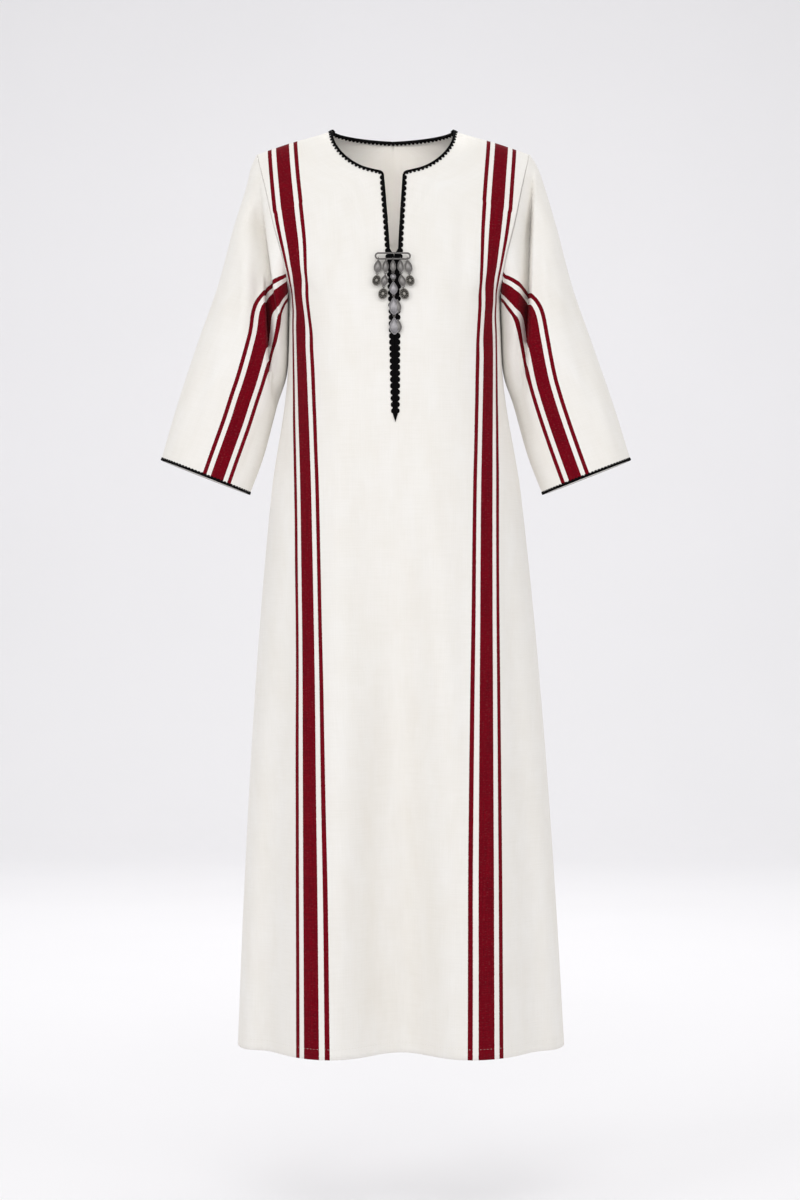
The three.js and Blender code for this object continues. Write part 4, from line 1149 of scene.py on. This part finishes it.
def build_neck_braid_front():
    """Round the front of the neck and down both edges of the slit."""
    line = neck_line(front_halves, row_at(front_halves[0]["rows"], SLIT_END_Z))
    z = line[:, 0, 2]
    past = np.maximum(0, SLIT_AT(z) - BRAID_GAP) * ease(-MEETS[0], -MEETS[1], -z)
    strip = band("neck_band", line, BRAID_SECTION, BRAID_SHARE_AT(z), past)
    turns = end_turns("neck_turns", line, NECK_TURN_AT, NECK_TURN)
    corner, foot = NECK_ROWS + 1, len(z) // 2
    runs = [("neck_right", slice(0, corner), NECK_PITCH, NECK_SCALLOP),
            ("slit_right", slice(corner, foot), SLIT_PITCH, SLIT_SCALLOP),
            ("slit_left", slice(foot + 1, len(z) - corner), SLIT_PITCH, SLIT_SCALLOP),
            ("neck_left", slice(len(z) - corner, len(z)), NECK_PITCH, NECK_SCALLOP)]
    edges = []
    for name, part, pitch, size in runs:
        edges.append(scallops(name, line[part], pitch, size, SCALLOP_REACH, towards_tip))
    return join("scalloped_braid_neck_front", [strip, turns, *edges])


def build_neck_braid_back():
    """Folded over the edge of the back neck, with scallops on both faces."""
    line = neck_line(back_halves, NECK_ROWS, (0, 1, 0))
    inside = -CLOTH_THICK
    over = BRAID_SECTION[2:9]
    grip = [(BACK_REACH, BACK_GAP), (-0.1, BACK_GAP)]
    edge = [(-0.9, inside - 0.8), (-1.05, inside / 2), (-0.9, 0.8)]
    faces = over + grip
    section = faces + [(reach, inside - lift) for reach, lift in faces[::-1]] + edge
    strip = band("back_band", line, section, BRAID_SHARE_AT(line[:, 0, 2]))
    outer, inner = (
        scallops(name, line, NECK_PITCH, NECK_SCALLOP, SCALLOP_REACH, towards_tip, lift)
        for name, lift in (("back_outer", SCALLOP_LIFT), ("back_inner", inside - SCALLOP_LIFT)))
    turns = end_turns("back_turns", line, BACK_TURN_AT, BACK_TURN)
    return join("scalloped_braid_neck_back", [strip, outer, inner, turns])


def build_cuff_braid(name, rings, normals):
    """A narrower braid round the end of a sleeve."""
    line = edge_line(rings[-1], rings[-3] - rings[-1], normals[-1], closed=True)
    section = [(reach * CUFF_SECTION_SHARE, lift) for reach, lift in BRAID_SECTION]
    strip = band(name + "_band", line, section, np.ones(len(rings[-1])), closed=True)
    edge = scallops(name + "_scallops", line, CUFF_PITCH, CUFF_SCALLOP,
                    SCALLOP_REACH * CUFF_SECTION_SHARE, whole, closed=True)
    return join(name, [strip, edge])


BRAIDS = {
    "neck_braid_front": build_neck_braid_front(),
    "neck_braid_back": build_neck_braid_back(),
    "cuff_braid_left": build_cuff_braid("scalloped_braid_cuff_left", left_rings, left_normals),
    "cuff_braid_right": build_cuff_braid("scalloped_braid_cuff_right", right_rings,
                                         right_normals),
}
for cad_name, piece in BRAIDS.items():
    hand_over(piece, "dress", cad_name)


# ---- hem stitches ----

STITCH = (2.6, 0.5, 0.3)
STITCH_PITCH = 5.4
STITCH_LIFT = 0.05


def hem_stitches(name, halves):
    """A row of small stitches along the top of the turned hem."""
    pieces = []
    for half in halves:
        row = row_at(half["rows"][:-TURN_ROWS], HEM_DEPTH - LENGTH)
        points = half["rows"][row]
        line = edge_line(points, np.broadcast_to(UP, points.shape), half["normals"][row])
        point, along, _, outward = spread(line, STITCH_PITCH)
        places = list(zip(point + outward * STITCH_LIFT, along, outward, whole(point)))
        pieces.append(pips(f"{name}_{len(pieces)}", places, STITCH, THREAD, facets=1))
    hand_over(join(name, pieces), "dress")


hem_stitches("hem_stitches_front", front_halves)
hem_stitches("hem_stitches_back", back_halves)


# ---- brooch ----

def in_front(x, z):
    """A place of the brooch, proud of the cloth and the braid at the middle."""
    return np.array([x, float(body_y(-1, 0, z)) - PROUD, z])


BAR_FOOT = BAR_Z - BAR_HEIGHT / 2 + BAR_WIRE / 2
BAR_STRAIGHT = (BAR_WIDTH - BAR_HEIGHT) / 2


def hooks():
    """Where each piece hangs from, and where the next one hangs from it."""
    by_name = {d["name"]: d for d in DROPS}
    places = {}
    for d in DROPS:
        above = by_name.get(d["hung"])
        if above:
            x = (above["x"] + d["x"]) / 2
            z = (above["z"] - above["height"] / 2 + d["z"] + d["height"] / 2) / 2
        else:
            x, z = min(BAR_STRAIGHT, max(-BAR_STRAIGHT, d["x"])), BAR_FOOT
        places[d["name"]] = dict(hook=in_front(x, z), eye=None)
    for d in DROPS:
        if d["hung"] in places:
            places[d["hung"]]["eye"] = places[d["name"]]["hook"]
    return places


def wire_ring(name, centre, axis, radius):
    """A wire bent into a ring about an axis."""
    axis = Vector(axis).normalized()
    turn = Vector((0, 0, 1)).rotation_difference(axis)
    vertices = []
    for i in range(WIRE_AROUND):
        a = 2 * math.pi * i / WIRE_AROUND
        for j in range(WIRE_ACROSS):
            b = 2 * math.pi * j / WIRE_ACROSS
            far = radius + RING_WIRE * math.cos(b)
            v = Vector((far * math.cos(a), far * math.sin(a), RING_WIRE * math.sin(b)))
            vertices.append(tuple((turn @ v + Vector(centre)) * MM))
    faces = tube_faces(WIRE_AROUND, WIRE_ACROSS, closed=True)
    ring = new_object(name, vertices, faces, SILVER)
    point_attribute(ring, "rub", [WIRE_RUB] * len(vertices))
    return ring


def domed_plate(name, drop, top, foot, stuff):
    """A cast plate: flat behind, a fine rim, and a dome or a coin's relief."""
    outline = OUTLINES[drop["shape"]]
    down = foot - top
    forward = np.cross(ACROSS, down)
    forward /= np.linalg.norm(forward)
    if forward[1] > 0:
        forward = -forward
    d, out = (np.array(column) for column in zip(*outline))
    fine = np.linspace(0, 1, PLATE_STEPS)
    half = np.interp(fine, d, out) * drop["width"] / 2
    loop = list(zip(half, fine)) + [(-x, y) for x, y in zip(half[::-1], fine[::-1])]
    # Each ring's third number is its brightness: painted shade at a dome's foot and a painted
    # highlight on its crown, besides tarnish and wear.
    rings = [(1, -PLATE_BACK, BACK_RUB), *RELIEFS[drop["shape"]]]
    vertices, rub = [], []
    for scale, lift, bright in rings:
        rub += [bright] * len(loop)
        for x, y in loop:
            vertices.append(top + ACROSS * (x * scale) + down * mix(0.5, y, scale)
                            + forward * lift)
    faces = tube_faces(len(rings), len(loop))
    piece = point_out(new_object(name, np.array(vertices) * MM, faces, stuff))
    point_attribute(piece, "rub", rub)
    return piece, forward


def coin_grains(name, drop, top, foot, forward, stuff):
    """A ring of small grains between a coin's boss and its rim."""
    places = []
    for k in range(COIN_GRAINS):
        turn = 2 * math.pi * (k + 0.5) / COIN_GRAINS
        aside = ACROSS * drop["width"] * math.cos(turn) + (foot - top) * math.sin(turn)
        place = (top + foot) / 2 + aside * GRAIN_RING / 2 + forward * GRAIN_LIFT
        places.append((place, ACROSS, forward, 1))
    grains = pips(name, places, (GRAIN, GRAIN, GRAIN), stuff)
    point_attribute(grains, "rub", [GRAIN_RUB] * len(grains.data.vertices))
    return grains


def build_drop(drop, hook, eye):
    """A hanging piece: its plate and the ring that it hangs from, and an eye below."""
    name = drop["name"]
    stuff = SILVER
    if drop["shape"] == "coin":
        stuff = DARK_SILVER
    if drop["shape"] == "bead" or name in ("drop_3", "drop_4", "drop_5"):
        stuff = PALE_SILVER
    lowest = in_front(drop["x"], drop["z"] - drop["height"] / 2)
    foot = lowest if eye is None else eye
    way = (foot - hook) / np.linalg.norm(foot - hook)
    radius = BAR_RING_RADIUS if drop["hung"] == "bar" else RING_RADIUS
    top = hook + way * PLATE_FROM_HOOK["bar" if drop["hung"] == "bar" else "plate"]
    end = lowest if eye is None else eye - way * PLATE_TO_EYE
    plate, forward = domed_plate(name + "_plate", drop, top, end, stuff)
    pieces = [plate]
    if drop.get("backing"):
        moved = np.array([drop["backing"], BACKING_SET_BACK, 0])
        inset = (1 - BACKING_SHARE) / 2
        shape = dict(drop, width=drop["width"] * BACKING_SHARE)
        high, low = mix(top, end, inset) + moved, mix(end, top, inset) + moved
        pieces.append(domed_plate(name + "_backing", shape, high, low, SILVER)[0])
    if drop["shape"] == "coin":
        pieces.append(coin_grains(name + "_grains", drop, top, end, forward, stuff))
    pieces.append(wire_ring(name + "_ring", hook, ACROSS, radius))
    if eye is not None:
        through = np.cross(ACROSS, way)
        pieces.append(wire_ring(name + "_eye", eye - way * RING_RADIUS, through, RING_RADIUS))
    hand_over(join("silver_" + name, pieces), name + "_body", name)


def build_bar():
    """The long link, a heavy wire with a flattened front."""
    half, rise = BAR_WIDTH / 2 - BAR_WIRE / 2, BAR_HEIGHT / 2 - BAR_WIRE / 2
    y = in_front(0, BAR_FOOT)[1]
    line = []
    for hand in (1, -1):
        for turn in np.linspace(-math.pi / 2, math.pi / 2, BAR_END_STEPS) * hand:
            way = np.array([hand * math.cos(turn), 0, math.sin(turn)])
            centre = np.array([hand * (half - rise), y, BAR_Z]) + way * rise
            line.append((centre, way))
    corners = []
    for k, (centre, way) in enumerate(line):
        after, way_after = line[(k + 1) % len(line)]
        steps = BAR_STEPS if np.linalg.norm(after - centre) > BAR_HEIGHT else 1
        for t in range(steps):
            corners.append((mix(centre, after, t / steps), mix(way, way_after, t / steps)))
    vertices = []
    for centre, way in corners:
        for j in range(BAR_ACROSS):
            b = 2 * math.pi * j / BAR_ACROSS
            flat = BAR_WIRE / 2 * math.sin(b) * (BAR_FLAT_FRONT if math.sin(b) < 0 else 1)
            vertices.append(centre + way * (BAR_WIRE / 2 * math.cos(b)) + np.array([0, flat, 0]))
    faces = tube_faces(len(corners), BAR_ACROSS, closed=True)
    piece = point_out(new_object("silver_link", np.array(vertices) * MM, faces, SILVER))
    point_attribute(piece, "rub", [WIRE_RUB] * len(vertices))
    hand_over(piece, "dress", "brooch_bar")


build_bar()
for drop in DROPS:
    build_drop(drop, **hooks()[drop["name"]])


# ---- studio ----

FLOOR_Z = -1.62


def studio():
    """A pale floor that sweeps up into a pale wall, far enough to walk round the dress."""
    floor_end, bend, half_width = 5.8, 1.6, 10
    profile = [(-9.0, FLOOR_Z), (floor_end, FLOOR_Z)]
    for k in range(1, 13):
        turn = math.pi / 2 * k / 12
        profile.append((floor_end + bend * math.sin(turn), FLOOR_Z + bend * (1 - math.cos(turn))))
    profile.append((floor_end + bend, 8.0))
    vertices = [(x, y, z) for y, z in profile for x in (-half_width, half_width)]
    faces = grid_quads(np.arange(len(vertices)).reshape(-1, 2))
    new_object("studio_sweep", vertices, faces, PAPER)


def soft_light(name, place, target, size, power, colour="FFFFFF", spread=180):
    data = bpy.data.lights.new(name, "AREA")
    data.shape = "RECTANGLE"
    data.size, data.size_y = size
    data.energy = power
    data.color = linear(colour)[:3]
    data.spread = math.radians(spread)
    lamp = add_object(name, data)
    lamp.visible_camera = False
    lamp.location = place
    lamp.rotation_euler = (Vector(target) - Vector(place)).to_track_quat("-Z", "Y").to_euler()


def camera():
    data = bpy.data.cameras.new("view")
    data.lens = 84
    data.sensor_width = 36
    view = add_object("view", data)
    view.location = (0.0105, -4.2, -0.7035)
    view.rotation_euler = (math.pi / 2, 0, 0)
    bpy.context.scene.camera = view


# Places and sizes in metres, power in watts.
LAMPS = table("name place target size power colour spread",
    ("key", (-2.6, -2.8, 0.7), (0, 0, -0.6), (1.4, 2.4), 28),
    ("fill", (2.6, -3.0, 0.2), (0, 0, -0.8), (2.0, 2.0), 21),
    ("high_front", (0, -3.4, 2.2), (0, 0, -0.5), (2.0, 1.2), 28),
    ("over_the_floor", (0, 2.3, 2.4), (0, 2.1, FLOOR_Z), (4.4, 3.4), 68),
    ("on_the_wall", (0, 3.8, 2.2), (0, 7.2, -1.3), (5, 1.5), 28),
    ("into_the_neck", (0.01, -0.25, 0.2), (0.01, 0.09, -0.045), (0.12, 0.03), 0.055,
     "FFFAF5", 32))

studio()
for lamp in LAMPS:
    soft_light(**lamp)
world = bpy.data.worlds.new("studio_air")
world.use_nodes = True
air = world.node_tree.nodes["Background"].inputs
air["Color"].default_value = (1, 1, 1, 1)
air["Strength"].default_value = 0.59
bpy.context.scene.world = world
bpy.context.scene.view_settings.view_transform = "Standard"
camera()
